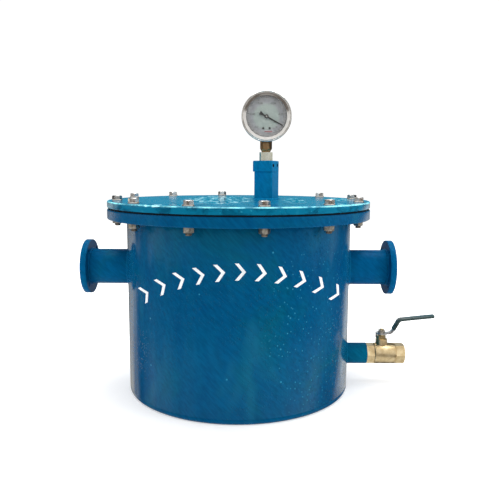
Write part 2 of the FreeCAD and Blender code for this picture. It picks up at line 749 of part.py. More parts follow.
def make_grid(name, level):
    body = new_body(name)
    rim = new_sketch(body, "XY", level)
    draw_outline(rim, half_disc("place.grid_radius", "place.grid_edge"))
    inner = "(place.grid_radius - size.grid_rim)"
    draw_outline(rim, half_disc(inner, "(place.grid_edge + size.grid_rim)"))
    pad(body, rim, "size.grid_thickness")
    bars = new_sketch(body, "XY", level)
    for bar in range(int(number("size.grid_bars"))):
        middle = f"(({bar} - (size.grid_bars - 1) / 2) * size.grid_spacing)"
        end = f"sqrt((place.grid_radius - size.grid_rim / 2) ^ 2 - {middle} ^ 2)"
        low = f"{middle} - size.grid_bar / 2"
        high = f"{middle} + size.grid_bar / 2"
        draw_outline(bars, rectangle("place.grid_edge + size.grid_rim / 2", low, end, high))
    pad(body, bars, "size.grid_thickness")
    drill_ties(body, level)


def make_demister():
    make_grid("demister_support", "place.grid_level")
    pad_body = new_body("demister_pad")
    sketch = new_sketch(pad_body, "XY", "place.pad_bottom")
    radius = "(place.shell_bore - size.pad_gap)"
    edge = "(place.half_baffle + size.pad_gap)"
    draw_outline(sketch, half_disc(radius, edge))
    pad(pad_body, sketch, "size.pad_thickness")
    drill_ties(pad_body, "place.pad_bottom")
    make_grid("demister_hold_down", "place.pad_top")

    bolts = new_body("demister_tie_bolts")
    nuts = new_body("demister_tie_nuts")
    nut_seat = "place.pad_top + size.grid_thickness"
    for x, y in tie_places():
        hex_solid(bolts, "XY", "place.grid_level", "size.tie_head", "size.tie_flats", x, y,
                  reverse=True)
        shank = new_sketch(bolts, "XY", "place.grid_level")
        draw_circle(shank, x, y, "size.tie_radius")
        pad(bolts, shank, nut_seat + " + size.tie_nut + size.tie_end - place.grid_level")
        hex_solid(nuts, "XY", nut_seat, "size.tie_nut", "size.tie_flats", x, y,
                  hole="size.tie_radius + size.thread_gap")


# Drain and ball valve. The valve parts share an origin at the ball centre.

def make_drain():
    socket = new_body("drain_socket", z="size.drain_level")
    thread = "size.thread_radius + size.thread_gap"
    step = "place.socket_end - size.socket_thread_depth"
    spin(socket, "XZ", [
        ("place.socket_inside", "place.socket_bore"),
        (step, "place.socket_bore"),
        (step, thread),
        ("place.socket_end", thread),
        ("place.socket_end", "place.socket_radius"),
        ("place.socket_inside", "place.socket_radius"),
    ], axis="H_Axis")
    nipple = new_body("drain_nipple", z="size.drain_level")
    start = "place.socket_end - size.socket_thread_depth + size.nipple_backoff"
    finish = "place.stem_place - place.valve_start + size.inlet_thread_depth - size.nipple_backoff"
    wall = rectangle(start, "place.nipple_bore", finish, "size.thread_radius")
    spin(nipple, "XZ", wall, axis="H_Axis")


def valve_piece(name):
    return new_body(name, x="place.stem_place", z="size.drain_level")


def stop_block(body, angle, half, low, high):
    """A block at the stop radius, at an angle from +X about the stem axis."""
    sketch = new_sketch(body, "XY", low)
    corners = []
    for radial, across in (("place.stop_inner", f"-{half}"), ("place.neck_radius", f"-{half}"),
                           ("place.neck_radius", half), ("place.stop_inner", half)):
        x = f"{radial} * cos({angle}) - ({across}) * sin({angle})"
        y = f"{radial} * sin({angle}) + ({across}) * cos({angle})"
        corners.append((x, y))
    draw_outline(sketch, corners)
    return pad(body, sketch, f"{high} - ({low})")


def make_valve_body():
    body = valve_piece("valve_body")
    hex_solid(body, "YZ", "-place.valve_start", "size.hex_length", "place.valve_flats", turn="90")
    barrel_start = "size.hex_length - place.valve_start"
    spin(body, "XZ", [
        (barrel_start, "0"),
        ("place.barrel_end", "0"),
        ("place.barrel_end", "place.barrel_radius - size.plate_edge"),
        ("place.barrel_end - size.plate_edge", "place.barrel_radius"),
        (barrel_start + " + size.plate_edge", "place.barrel_radius"),
        (barrel_start, "place.barrel_radius - size.plate_edge"),
    ], axis="H_Axis")
    spin(body, "XZ", rectangle("0", "place.cavity_radius", "place.neck_radius", "place.neck_top"))
    turn = ("(atan(size.tab_half / place.stop_inner) + atan(size.stop_half / place.stop_inner)"
            " + size.stop_gap * 1 deg)")
    stop_low = "place.neck_top - size.stop_root"
    for angle in (f"(180 deg + {turn})", f"(90 deg - {turn})"):
        stop_block(body, angle, "size.stop_half", stop_low, "place.packing_nut_top")
    thread = "size.thread_radius + size.thread_gap"
    inlet_step = "size.inlet_thread_depth - place.valve_start"
    cap_thread = "place.cap_thread_radius + size.thread_gap"
    spin(body, "XZ", [
        ("-place.valve_start", "0"),
        ("place.barrel_end", "0"),
        ("place.barrel_end", cap_thread),
        ("place.cap_thread_start", cap_thread),
        ("place.cap_thread_start", "place.cavity_radius"),
        ("-place.seat_back", "place.cavity_radius"),
        ("-place.seat_back", "size.port_radius"),
        (inlet_step, "size.port_radius"),
        (inlet_step, thread),
        ("-place.valve_start", thread),
    ], axis="H_Axis", kind="Groove")
    pocket_radius = "place.shoulder_radius + size.shoulder_gap"
    bore = "size.stem_radius + size.stem_clearance"
    spin(body, "XZ", [
        ("0", "0"),
        (pocket_radius, "0"),
        (pocket_radius, "place.shoulder_pocket_top"),
        (bore, "place.shoulder_pocket_top"),
        (bore, "place.packing_bottom"),
        ("place.packing_radius", "place.packing_bottom"),
        ("place.packing_radius", "place.neck_top"),
        ("0", "place.neck_top"),
    ], kind="Groove")


def make_valve_end_cap():
    body = valve_piece("valve_end_cap")
    hex_solid(body, "YZ", "place.barrel_end", "size.cap_length", "place.valve_flats", turn="90")
    spin(body, "XZ", [
        ("place.seat_back", "0"),
        ("place.barrel_end", "0"),
        ("place.barrel_end", "place.cap_thread_radius"),
        ("place.cap_thread_start", "place.cap_thread_radius"),
        ("place.cap_thread_start", "place.cavity_radius - size.fit_gap"),
        ("place.seat_back", "place.cavity_radius - size.fit_gap"),
    ], axis="H_Axis")
    thread = "size.thread_radius + size.thread_gap"
    step = "place.valve_end - size.outlet_thread_depth"
    spin(body, "XZ", [
        ("place.seat_back", "0"),
        ("place.valve_end", "0"),
        ("place.valve_end", thread),
        (step, thread),
        (step, "size.port_radius"),
        ("place.seat_back", "size.port_radius"),
    ], axis="H_Axis", kind="Groove")
    corner = "(place.valve_flats / 2 / cos(30))"
    flat = "(place.valve_flats / 2)"
    spin(body, "XZ", [
        (f"place.valve_end - ({corner} - {flat}) / 2", corner),
        ("place.valve_end", flat),
        ("place.valve_end", corner),
    ], axis="H_Axis", kind="Groove")


def make_ball_and_seats():
    ball = valve_piece("valve_ball")
    half = "sqrt(place.ball_radius ^ 2 - size.port_radius ^ 2)"
    spin(ball, "XZ", [
        ("-" + half, "size.port_radius"),
        (half, "size.port_radius", "place.ball_radius", "left"),
    ], axis="H_Axis")
    slot = new_sketch(ball, "XZ")
    half_slot = "place.slot_width / 2"
    draw_outline(slot, rectangle("-" + half_slot, "place.slot_floor", half_slot, "place.shoulder_top"))
    pocket(ball, slot, "2 * place.ball_radius", middle=True)

    seats = valve_piece("ball_seats")
    sphere = "(place.ball_radius + size.seat_gap)"
    inner = "(size.port_radius + size.fit_gap)"
    outer = "place.cavity_radius - size.fit_gap"
    near = f"sqrt({sphere} ^ 2 - place.seat_front ^ 2)"
    deep = f"sqrt({sphere} ^ 2 - {inner} ^ 2)"
    for side in ("-1", "1"):
        spin(seats, "XZ", [
            (f"{side} * place.seat_back", inner),
            (f"{side} * {deep}", inner, sphere, "left" if side == "1" else "right"),
            (f"{side} * place.seat_front", near),
            (f"{side} * place.seat_front", outer),
            (f"{side} * place.seat_back", outer),
        ], axis="H_Axis")


def make_stem_and_packing():
    stem = valve_piece("valve_stem")
    tang = new_sketch(stem, "XY", "place.tang_bottom")
    draw_outline(tang, rectangle("-size.tang_thickness / 2", "-size.tang_width / 2",
                                 "size.tang_thickness / 2", "size.tang_width / 2"))
    pad(stem, tang, "place.shoulder_bottom - place.tang_bottom + size.fit_gap")
    spin(stem, "XZ", [
        ("0", "place.shoulder_bottom"),
        ("place.shoulder_radius", "place.shoulder_bottom"),
        ("place.shoulder_radius", "place.shoulder_top"),
        ("size.stem_radius", "place.shoulder_top"),
        ("size.stem_radius", "place.lever_level"),
        ("place.spindle_radius", "place.lever_level"),
        ("place.spindle_radius", "place.spindle_top"),
        ("0", "place.spindle_top"),
    ])
    flats = new_sketch(stem, "XY", "place.lever_level")
    for side in ("-1", "1"):
        near = f"{side} * place.spindle_flats / 2"
        far = f"{side} * size.stem_radius"
        draw_outline(flats, rectangle("-size.stem_radius", near, "size.stem_radius", far))
    pocket(stem, flats, "place.spindle_top - place.lever_level", reverse=True)

    packing = valve_piece("stem_packing")
    bore = "size.stem_radius + size.stem_clearance"
    spin(packing, "XZ", ring_section(bore, "place.packing_radius",
                                     "place.packing_bottom", "place.packing_top"))
    nut = valve_piece("packing_nut")
    hex_solid(nut, "XY", "place.neck_top", "size.packing_nut_height", "size.packing_nut_flats",
              hole=bore, turn="30")
    spin(nut, "XZ", ring_section(bore, "place.packing_radius - size.thread_gap",
                                 "place.packing_top", "place.neck_top"))


# Lever of bent strip with a vinyl sleeve

def draw_bent_line(sketch, start, runs):
    """Straight runs joined by tangent arcs. Each run is (length, angle), with the bend
    radius to the next run between them."""
    x, y = number(start[0]), number(start[1])
    lines = []
    for index, item in enumerate(runs):
        if index % 2 == 0:
            length, heading = number(item[0]), math.radians(number(item[1]))
            finish = Vector(x + length * math.cos(heading), y + length * math.sin(heading), 0)
            line = sketch.addGeometry(Part.LineSegment(Vector(x, y, 0), finish), False)
            bind(sketch, Sketcher.Constraint("Distance", line, length), item[0])
            if index == 0:
                fix_point(sketch, line, 1, start[0], start[1])
            if number(item[1]) == 0:
                sketch.addConstraint(Sketcher.Constraint("Horizontal", line))
            else:
                bind(sketch, Sketcher.Constraint("Angle", line, heading), f"{item[1]} * 1 deg")
            lines.append((line, 1, 2))
            x, y = finish.x, finish.y
            continue
        radius = number(item)
        following = math.radians(number(runs[index + 1][1]))
        side = 1 if following > heading else -1
        across = Vector(-math.sin(heading), math.cos(heading), 0)
        centre = Vector(x, y, 0) + across * (side * radius)
        first = heading - side * math.pi / 2
        last = following - side * math.pi / 2
        span = (first, last) if side > 0 else (last, first)
        bend = Part.ArcOfCircle(Part.Circle(centre, TURN_Z, radius), *span)
        line = sketch.addGeometry(bend, False)
        bind(sketch, Sketcher.Constraint("Radius", line, radius), item)
        lines.append((line, 1, 2) if side > 0 else (line, 2, 1))
        x, y = centre.x + radius * math.cos(last), centre.y + radius * math.sin(last)
    for before, after in zip(lines, lines[1:]):
        join = Sketcher.Constraint("Tangent", before[0], before[2], after[0], after[1])
        sketch.addConstraint(join)


def sweep(body, path, section):
    feature = body.newObject("PartDesign::AdditivePipe", body.Name + "_sweep")
    feature.Profile = section
    feature.Spine = path
    feature.Transition = "Round corner"
    return feature


LEVER_LAST_RUNS = ["size.second_bend", ("size.grip_run", "size.grip_angle")]
LEVER_MIDDLE = "(place.lever_level + place.lever_top) / 2"


def rounded_rectangle(half_width, half_height, radius):
    """Corners of a rectangle about the origin with rounded corners, counterclockwise."""
    near_x, near_y = f"({half_width} - {radius})", f"({half_height} - {radius})"
    return [
        ("-" + near_x, "-" + half_height), (near_x, "-" + half_height, radius, "left"),
        (half_width, "-" + near_y), (half_width, near_y, radius, "left"),
        (near_x, half_height), ("-" + near_x, half_height, radius, "left"),
        ("-" + half_width, near_y), ("-" + half_width, "-" + near_y, radius, "left"),
    ]


def strip_profile(body, x, z, turn, width, thickness, edge=None, inside=None):
    """A section square to the strip where a sweep starts. A sleeve has rounded edges and a
    hollow."""
    sketch = new_sketch(body, "YZ")
    tilt = FreeCAD.Rotation(Vector(1, 0, 0), -number(turn))
    sketch.AttachmentOffset = FreeCAD.Placement(Vector(), tilt)
    for axis, expression in (("y", z), ("z", x)):
        sketch.setExpression("AttachmentOffset.Base." + axis, expression)
    half_width, half = f"({width}) / 2", f"({thickness}) / 2"
    if edge:
        draw_outline(sketch, rounded_rectangle(half_width, half, edge))
    else:
        draw_outline(sketch, rectangle("-" + half_width, "-" + half, half_width, half))
    if inside:
        half_width, half = f"({inside[0]}) / 2", f"({inside[1]}) / 2"
        draw_outline(sketch, rectangle("-" + half_width, "-" + half, half_width, half))
    return sketch


def make_lever():
    lever = valve_piece("valve_lever")
    path = new_sketch(lever, "XZ")
    draw_bent_line(path, ("size.strip_start", LEVER_MIDDLE),
                   [("size.strip_run - size.strip_start", "0"), "size.first_bend",
                    ("size.rise_run", "size.rise_angle")] + LEVER_LAST_RUNS)
    section = strip_profile(lever, "size.strip_start", LEVER_MIDDLE, "0",
                            "size.lever_width", "size.lever_thickness")
    sweep(lever, path, section)
    hub = new_sketch(lever, "XY", "place.lever_level")
    draw_circle(hub, "0", "0", "place.neck_radius")
    pad(lever, hub, "size.lever_thickness")
    stop_block(lever, "180 deg", "size.tab_half", "place.tab_bottom", "place.lever_top")
    hole = new_sketch(lever, "XY", "place.lever_level")
    radius = "(place.spindle_radius + size.thread_gap)"
    flat = "(place.spindle_flats / 2 + size.thread_gap)"
    reach = f"sqrt({radius} ^ 2 - {flat} ^ 2)"
    draw_outline(hole, [
        (reach, "-" + flat, radius, "left"),
        (reach, flat),
        ("-" + reach, flat, radius, "left"),
        ("-" + reach, "-" + flat),
    ])
    pocket(lever, hole, "size.lever_thickness", reverse=True)

    grip = valve_piece("lever_grip")
    start_x = ("size.strip_run + size.first_bend * sin(size.rise_angle)"
               " + size.grip_start * cos(size.rise_angle)")
    start_z = (LEVER_MIDDLE + " + size.first_bend * (1 - cos(size.rise_angle))"
               " + size.grip_start * sin(size.rise_angle)")
    path = new_sketch(grip, "XZ")
    draw_bent_line(path, (start_x, start_z),
                   [("size.rise_run - size.grip_start", "size.rise_angle")] + LEVER_LAST_RUNS)
    wide = "size.lever_width + 2 * size.grip_wall"
    thick = "size.lever_thickness + 2 * size.grip_wall"
    section = strip_profile(grip, start_x, start_z, "size.rise_angle", wide, thick,
                            "size.grip_edge", ("size.lever_width", "size.lever_thickness"))
    sweep(grip, path, section)
    tip_x = (f"{start_x} + (size.rise_run - size.grip_start) * cos(size.rise_angle)"
             " + size.second_bend * (sin(size.rise_angle) - sin(size.grip_angle))"
             " + size.grip_run * cos(size.grip_angle)")
    tip_z = (f"{start_z} + (size.rise_run - size.grip_start) * sin(size.rise_angle)"
             " + size.second_bend * (cos(size.grip_angle) - cos(size.rise_angle))"
             " + size.grip_run * sin(size.grip_angle)")
    end = strip_profile(grip, tip_x, tip_z, "size.grip_angle", wide, thick, "size.grip_edge")
    pad(grip, end, "size.grip_end")
    corners = new_sketch(grip, "XY")
    far_x = f"({tip_x} + size.grip_end + size.grip_wall)"
    arc_x = f"({tip_x} + size.grip_end * cos(size.grip_angle) - size.grip_round)"
    side, arc_y = f"({wide}) / 2", f"(({wide}) / 2 - size.grip_round)"
    draw_outline(corners, [
        (f"{arc_x} + size.grip_round", arc_y, "size.grip_round", "left"),
        (arc_x, side),
        (arc_x, f"{side} + size.grip_wall"),
        (far_x, f"{side} + size.grip_wall"),
        (far_x, arc_y),
    ])
    draw_outline(corners, [
        (arc_x, "-" + side, "size.grip_round", "left"),
        (f"{arc_x} + size.grip_round", "-" + arc_y),
        (far_x, "-" + arc_y),
        (far_x, f"-{side} - size.grip_wall"),
        (arc_x, f"-{side} - size.grip_wall"),
    ])
    cut_through(grip, corners)

    nut = valve_piece("lever_nut")
    hex_solid(nut, "XY", "place.lever_top", "size.lever_nut_height", "size.lever_nut_flats",
              hole="place.spindle_radius + size.thread_gap", turn="size.lever_nut_turn")


# Gauge post, coupling block, staple and adapter

def make_gauge_post():
    post = new_body("gauge_post", x="size.post_x", y="size.post_y", z="place.lid_top",
                    turn="size.post_turn")
    sketch = new_sketch(post, "XY")
    for half in ("size.post_width / 2", "(size.post_width / 2 - size.post_wall)"):
        draw_outline(sketch, rectangle("-" + half, "-" + half, half, half))
    pad(post, sketch, "size.post_height")
    corner = "size.post_width / 2"
    soften(post, "size.post_wall", lambda edge: upright_at(edge, corner))


def upright_at(edge, half):
    """Whether an edge is upright at this distance from both middle planes."""
    ends = [vertex.Point for vertex in edge.Vertexes]
    if len(ends) < 2 or (ends[0] - ends[1]).cross(TURN_Z).Length > SAME_PLACE:
        return False
    return all(abs(abs(value) - number(half)) < SAME_PLACE for value in (ends[0].x, ends[0].y))


def block_piece(name, turn="size.post_turn"):
    """A piece about the plug axis, with its origin in the top face of the coupling block."""
    return new_body(name, x="place.block_x", y="place.block_y", z="place.block_top", turn=turn)


def make_gauge_block():
    block = block_piece("gauge_block")
    half = "place.block_width / 2"
    sketch = new_sketch(block, "XY")
    draw_outline(sketch, rectangle("-" + half, "-" + half, half, half))
    pad(block, sketch, "place.block_height", reverse=True)

    def outer_edge(edge):
        on_top = all(abs(vertex.Point.z) < SAME_PLACE for vertex in edge.Vertexes)
        return on_top or upright_at(edge, half)

    soften(block, "size.block_edge", outer_edge)
    bore = "size.plug_radius + size.plug_gap"
    spin(block, "XZ", [
        ("0", "0"),
        (bore, "0"),
        (bore, "-place.plug_floor"),
        ("size.bleed_radius", "-place.plug_floor"),
        ("size.bleed_radius", "-place.block_height"),
        ("0", "-place.block_height"),
    ], kind="Groove")
    hole = "size.staple_radius + size.staple_gap"
    leg = "(place.plug_groove + size.staple_radius)"
    legs = new_sketch(block, "YZ")
    for side in ("-1", "1"):
        draw_circle(legs, f"{side} * {leg}", "-place.staple_drop", hole)
    cut_through(block, legs)
    slot = new_sketch(block, "XZ")
    depth = "(size.staple_crown + size.staple_bend)"
    draw_outline(slot, rectangle("-" + half, f"-place.staple_drop - ({hole})",
                                 f"-{half} + {depth}", f"-place.staple_drop + {hole}"))
    pocket(block, slot, f"2 * ({leg} + {hole})", middle=True)


def make_gauge_staple():
    staple = block_piece("gauge_staple")
    leg = "(place.plug_groove + size.staple_radius)"
    crown = "(place.block_width / 2 - size.staple_crown)"
    bend = "size.staple_bend"
    path = new_sketch(staple, "XY", "-place.staple_drop")
    leg_length = f"place.block_width / 2 - size.staple_short + {crown} - {bend}"
    draw_bent_line(path, ("place.block_width / 2 - size.staple_short", "-" + leg), [
        (leg_length, "180"), bend, (f"2 * ({leg} - {bend})", "90"), bend, (leg_length, "0")])
    section = new_sketch(staple, "YZ", "place.block_width / 2 - size.staple_short")
    draw_circle(section, "-" + leg, "-place.staple_drop", "size.staple_radius")
    sweep(staple, path, section)


def make_gauge_adapter():
    adapter = block_piece("gauge_adapter", turn="0")
    hex_solid(adapter, "XY", None, "size.adapter_height", "size.adapter_flats", turn="size.adapter_turn")
    groove_low = "-place.staple_drop - size.staple_radius - size.staple_gap"
    groove_high = "-place.staple_drop + size.staple_radius + size.staple_gap"
    seal_low = "-place.seal_drop - size.seal_section"
    seal_high = "-place.seal_drop + size.seal_section"
    seal_floor = "size.plug_radius + size.plug_gap - 2 * size.seal_section"
    spin(adapter, "XZ", [
        ("0", "0"),
        ("0", "-size.plug_depth"),
        ("size.plug_radius", "-size.plug_depth"),
        ("size.plug_radius", seal_low),
        (seal_floor, seal_low),
        (seal_floor, seal_high),
        ("size.plug_radius", seal_high),
        ("size.plug_radius", groove_low),
        ("place.plug_groove", groove_low),
        ("place.plug_groove", groove_high),
        ("size.plug_radius", groove_high),
        ("size.plug_radius", "0"),
    ])
    thread = "size.adapter_thread + size.thread_gap"
    step = "size.adapter_height - size.adapter_thread_depth"
    spin(adapter, "XZ", [
        ("0", "-size.plug_depth"),
        ("size.bleed_radius", "-size.plug_depth"),
        ("size.bleed_radius", step),
        (thread, step),
        (thread, "size.adapter_height"),
        ("0", "size.adapter_height"),
    ], kind="Groove")

    seal = block_piece("adapter_seal", turn="0")
    spin(seal, "XZ", ring_section(seal_floor, "size.plug_radius + size.plug_gap",
                                  seal_low + " + size.thread_gap", seal_high + " - size.thread_gap"))


# Gauge. Its pieces share an origin on the dial axis, above the socket.

def gauge_piece(name, x="0", z="0", turn="0"):
    """A gauge piece, turned counter-clockwise as seen from the front."""
    return new_body(name, x=f"place.block_x + {x}", y="place.block_y", z=f"place.gauge_level + {z}",
                    turn=turn, about=GAUGE_AXIS)


def make_gauge_socket():
    socket = gauge_piece("gauge_socket")
    base = "-place.gauge_rise"
    top = "-size.case_radius"
    corner = "(size.socket_flats / 2 / cos(30))"
    hex_solid(socket, "XY", base, f"{top} - ({base})", "size.socket_flats", turn="30")
    spin(socket, "XZ", [
        ("size.socket_foot", base),
        (corner, base),
        (corner, f"{base} + size.socket_cone"),
    ], kind="Groove")
    thread_end = f"{base} - size.adapter_thread_depth + size.nipple_backoff"
    spin(socket, "XZ", ring_section("0", "size.adapter_thread", thread_end, base))
    neck = "size.neck_hole - size.fit_gap"
    head_base = f"{top} + size.case_wall + size.neck_step"
    spin(socket, "XZ", ring_section("0", neck, top, head_base))
    head = new_sketch(socket, "XY", head_base)
    half = "size.head_width / 2"
    draw_outline(head, rectangle("-" + half, "-size.head_front", half, "size.head_back"))
    pad(socket, head, f"-size.head_top - ({head_base})")
    bore_end = "-size.head_top - size.head_roof"
    bore = ring_section("0", "size.bleed_radius", thread_end, bore_end)
    spin(socket, "XZ", bore, kind="Groove")


def make_gauge_case():
    case = gauge_piece("gauge_case")
    bevel = "size.case_edge"
    spin(case, "XY", [
        ("0", "size.case_back - size.case_wall"),
        (f"size.case_radius - size.case_wall - {bevel}", "size.case_back - size.case_wall"),
        ("size.case_radius - size.case_wall", f"size.case_back - size.case_wall - {bevel}"),
        ("size.case_radius - size.case_wall", "-place.case_front"),
        ("size.case_radius", "-place.case_front"),
        ("size.case_radius", f"size.case_back - {bevel}"),
        (f"size.case_radius - {bevel}", "size.case_back"),
        ("0", "size.case_back"),
    ])
    neck = new_sketch(case, "XY")
    draw_circle(neck, "0", "0", "size.neck_hole")
    pocket(case, neck, "2 * size.case_radius")
    relief = new_sketch(case, "XZ")
    draw_circle(relief, "0", "size.relief_rise", "size.relief_radius")
    pocket(case, relief, "2 * size.case_back")

    plug = gauge_piece("relief_plug", z="size.relief_rise")
    lip = "size.relief_radius + size.relief_lip"
    inside = "size.case_back - size.case_wall"
    spin(plug, "XY", [
        ("0", inside + " - size.relief_inner_lip"),
        (lip, inside + " - size.relief_inner_lip"),
        (lip, inside),
        ("size.relief_radius", inside),
        ("size.relief_radius", "size.case_back"),
        (lip, "size.case_back"),
        (lip, "size.case_back + size.relief_outer_lip"),
        ("0", "size.case_back + size.relief_outer_lip"),
    ])


def make_gauge_front():
    bezel = gauge_piece("gauge_bezel")
    inner = "size.case_radius + size.fit_gap"
    lip_back = "size.bezel_lip - place.bezel_front"
    spin(bezel, "XY", [
        ("place.bezel_opening", lip_back),
        ("place.bezel_opening", "size.bezel_lip / 2 - place.bezel_front"),
        ("place.bezel_opening + size.bezel_slope", "-place.bezel_front"),
        ("place.bezel_radius - size.bezel_slope", "-place.bezel_front"),
        ("place.bezel_radius", f"{lip_back} + size.bezel_slope / 2"),
        ("place.bezel_radius", "-place.bezel_skirt"),
        (inner, "-place.bezel_skirt"),
        (inner, lip_back),
    ])
    window = gauge_piece("gauge_window")
    front = "-place.window_back - size.window_thickness"
    spin(window, "XY", ring_section("0", "place.window_radius", front, "-place.window_back"))
    ring = gauge_piece("window_gasket")
    spin(ring, "XY", ring_section("place.window_seat_inner", "place.window_radius",
                                  "-place.window_back", "-place.case_front"))


def pivot_holes(body, lift):
    """Holes for the pinion arbor, the sector pivot and the pillars."""
    sketch = new_sketch(body, "XZ", lift)
    radius = "size.arbor_radius + size.pivot_gap"
    draw_circle(sketch, "0", "0", radius)
    draw_circle(sketch, "0", "-place.gear_centres", radius)
    return cut_through(body, sketch)


def movement_plate(name, back, bottom):
    """A movement plate with its back this far before the stem axis."""
    body = gauge_piece(name)
    sketch = new_sketch(body, "XZ", back)
    half = "size.plate_half"
    draw_outline(sketch, rectangle("-" + half, bottom, half, "size.plate_top"))
    pad(body, sketch, "size.plate_thickness")
    soften(body, "size.pillar_inset", crosswise)
    pivot_holes(body, back)
    return body


def crosswise(edge):
    """Whether an edge runs straight along Y."""
    ends = [vertex.Point for vertex in edge.Vertexes]
    return len(ends) == 2 and (ends[0] - ends[1]).cross(TURN_Y).Length < SAME_PLACE


def make_movement_frame():
    movement_plate("movement_back_plate", "size.head_front", "-size.plate_bottom")
    front = movement_plate("movement_front_plate", "place.front_plate_back", "-size.plate_bottom")
    holes = new_sketch(front, "XZ", "place.front_plate_back")
    for side in ("-1", "1"):
        draw_circle(holes, f"{side} * size.dial_screw_spread", "-size.dial_screw_drop",
                    "size.dial_screw_shank + size.thread_gap")
    cut_through(front, holes)
    pillars = gauge_piece("movement_pillars")
    sketch = new_sketch(pillars, "XZ", "place.back_plate_front")
    inset = "(size.plate_half - size.pillar_inset)"
    top = "size.plate_top - size.pillar_inset"
    low = "size.pillar_inset - size.plate_bottom"
    for x, z in (("-" + inset, top), (inset, top), (inset, low)):
        draw_circle(sketch, x, z, "size.pillar_radius")
    pad(pillars, sketch, "size.pillar_length")


def make_dial():
    dial = gauge_piece("gauge_dial")
    sketch = new_sketch(dial, "XZ", "place.dial_back")
    draw_circle(sketch, "0", "0", "place.dial_radius")
    draw_circle(sketch, "0", "0", "size.dial_hole")
    for side in ("-1", "1"):
        draw_circle(sketch, f"{side} * size.dial_screw_spread", "-size.dial_screw_drop",
                    "size.dial_screw_shank + size.thread_gap")
    pad(dial, sketch, "size.dial_thickness")

    screws = gauge_piece("dial_screws")
    shank_end = "place.front_plate_back"
    for radius, start, length in (
        ("size.dial_screw_shank", shank_end, f"place.dial_front - {shank_end}"),
        ("size.dial_screw_head", "place.dial_front", "size.dial_screw_height"),
    ):
        sketch = new_sketch(screws, "XZ", start)
        for side in ("-1", "1"):
            draw_circle(sketch, f"{side} * size.dial_screw_spread", "-size.dial_screw_drop", radius)
        pad(screws, sketch, length)


def make_pointer():
    pointer = gauge_piece("gauge_pointer", turn="-size.dial_zero")
    back = "place.pointer_plane - size.pointer_thickness"
    blade = new_sketch(pointer, "XZ", back)
    half_outline = [
        ("size.pointer_tip", "size.pointer_length"),
        ("size.pointer_root", "0"),
        ("size.pointer_waist", "-size.pointer_waist_place"),
        ("size.pointer_fin", "-size.pointer_tail"),
    ]
    left = [("-" + across, along) for across, along in reversed(half_outline)]
    draw_outline(blade, half_outline + left)
    pad(pointer, blade, "size.pointer_thickness")
    hub_back = "(place.dial_front + size.hub_lift)"
    hub = new_sketch(pointer, "XZ", hub_back)
    draw_circle(hub, "0", "0", "size.pointer_hub")
    pad(pointer, hub, f"place.pointer_plane + size.pointer_thickness - {hub_back}")
    bore = new_sketch(pointer, "XZ", "place.dial_front")
    draw_circle(bore, "0", "0", "size.arbor_radius")
    pocket(pointer, bore, "size.pointer_lift", reverse=True)


def involute(base, radius, turn, side):
    """A point of an involute flank at a radius, in the dial plane."""
    pressure = math.acos(min(base / radius, 1))
    angle = turn + side * (math.tan(pressure) - pressure)
    return Vector(radius * math.sin(angle), 0, radius * math.cos(angle))


def tooth_edges(teeth, index):
    """Edges of one tooth, clockwise, and its two root points. Tooth 0 points along +Z."""
    module = number("size.tooth_module")
    pitch = module * teeth / 2
    pressure = math.radians(number("size.pressure_angle"))
    base = pitch * math.cos(pressure)
    tip = pitch + module * number("size.tooth_height")
    root = pitch - module * number("size.tooth_depth")
    half = math.pi / 2 / teeth - number("size.tooth_backlash") / pitch
    roll = math.tan(pressure) - pressure
    middle = 2 * math.pi * index / teeth
    low = max(base, root)
    radii = [low + (tip - low) * step / 3 for step in range(4)]
    flanks = []
    for side in (-1, 1):
        turn = middle + side * (half + roll)
        flanks.append([involute(base, radius, turn, -side) for radius in radii])
    rising = Part.BSplineCurve()
    rising.interpolate(flanks[0])
    falling = Part.BSplineCurve()
    falling.interpolate(flanks[1][::-1])
    feet = []
    for flank in flanks:
        foot = Vector(flank[0])
        foot.multiply(root / foot.Length)
        feet.append(foot)
    edges = [rising.toShape(), Part.makeLine(flanks[0][-1], flanks[1][-1]), falling.toShape()]
    if low > root:
        edges.insert(0, Part.makeLine(feet[0], flanks[0][0]))
        edges.append(Part.makeLine(flanks[1][0], feet[1]))
    return edges, feet[0], feet[1]


def toothed_face(teeth, indices, close_through):
    """A face bounded by teeth and closed through the given inner points."""
    edges = []
    last = None
    first = None
    for index in indices:
        tooth, start, finish = tooth_edges(teeth, index)
        if last is not None:
            edges.append(Part.makeLine(last, start))
        first = first or start
        edges.extend(tooth)
        last = finish
    for point in close_through + [first]:
        edges.append(Part.makeLine(last, point))
        last = point
    return Part.Face(Part.Wire(Part.__sortEdges__(edges)))


def disc(radius, front, thickness, x=0, z=0):
    """A disc square to the dial axis, from a front plane back towards the tank axis."""
    return Part.makeCylinder(radius, thickness, Vector(x, front, z), TURN_Y)


def add_shape(name, shape, z="0"):
    """A finished shape on the gauge axis, as its own sub-part."""
    feature = doc.addObject("Part::Feature", name)
    feature.Label = name
    feature.Shape = shape.removeSplitter()
    spot = (number("place.block_x"), number("place.block_y"), number("place.gauge_level + " + z))
    feature.Placement = FreeCAD.Placement(Vector(*spot), FreeCAD.Rotation())
    return feature


def make_pinion_arbor():
    """The pinion has a tooth space towards the sector at mid scale, then turns to its rest."""
    teeth = int(number("size.pinion_teeth"))
    width = number("size.pinion_width")
    face = toothed_face(teeth, [index + 1 / 2 for index in range(teeth)], [])
    gear = face.extrude(Vector(0, width, 0))
    gear.translate(Vector(0, -number("place.gear_plane") - width / 2, 0))
    back = -number("size.head_front + size.pivot_gap")
    front = -number("place.pointer_plane")
    arbor = disc(number("size.arbor_radius"), front, back - front)
    shape = gear.fuse(arbor)
    shape.rotate(Vector(), GAUGE_AXIS, -number("size.dial_zero"))
    add_shape("pinion_arbor", shape)


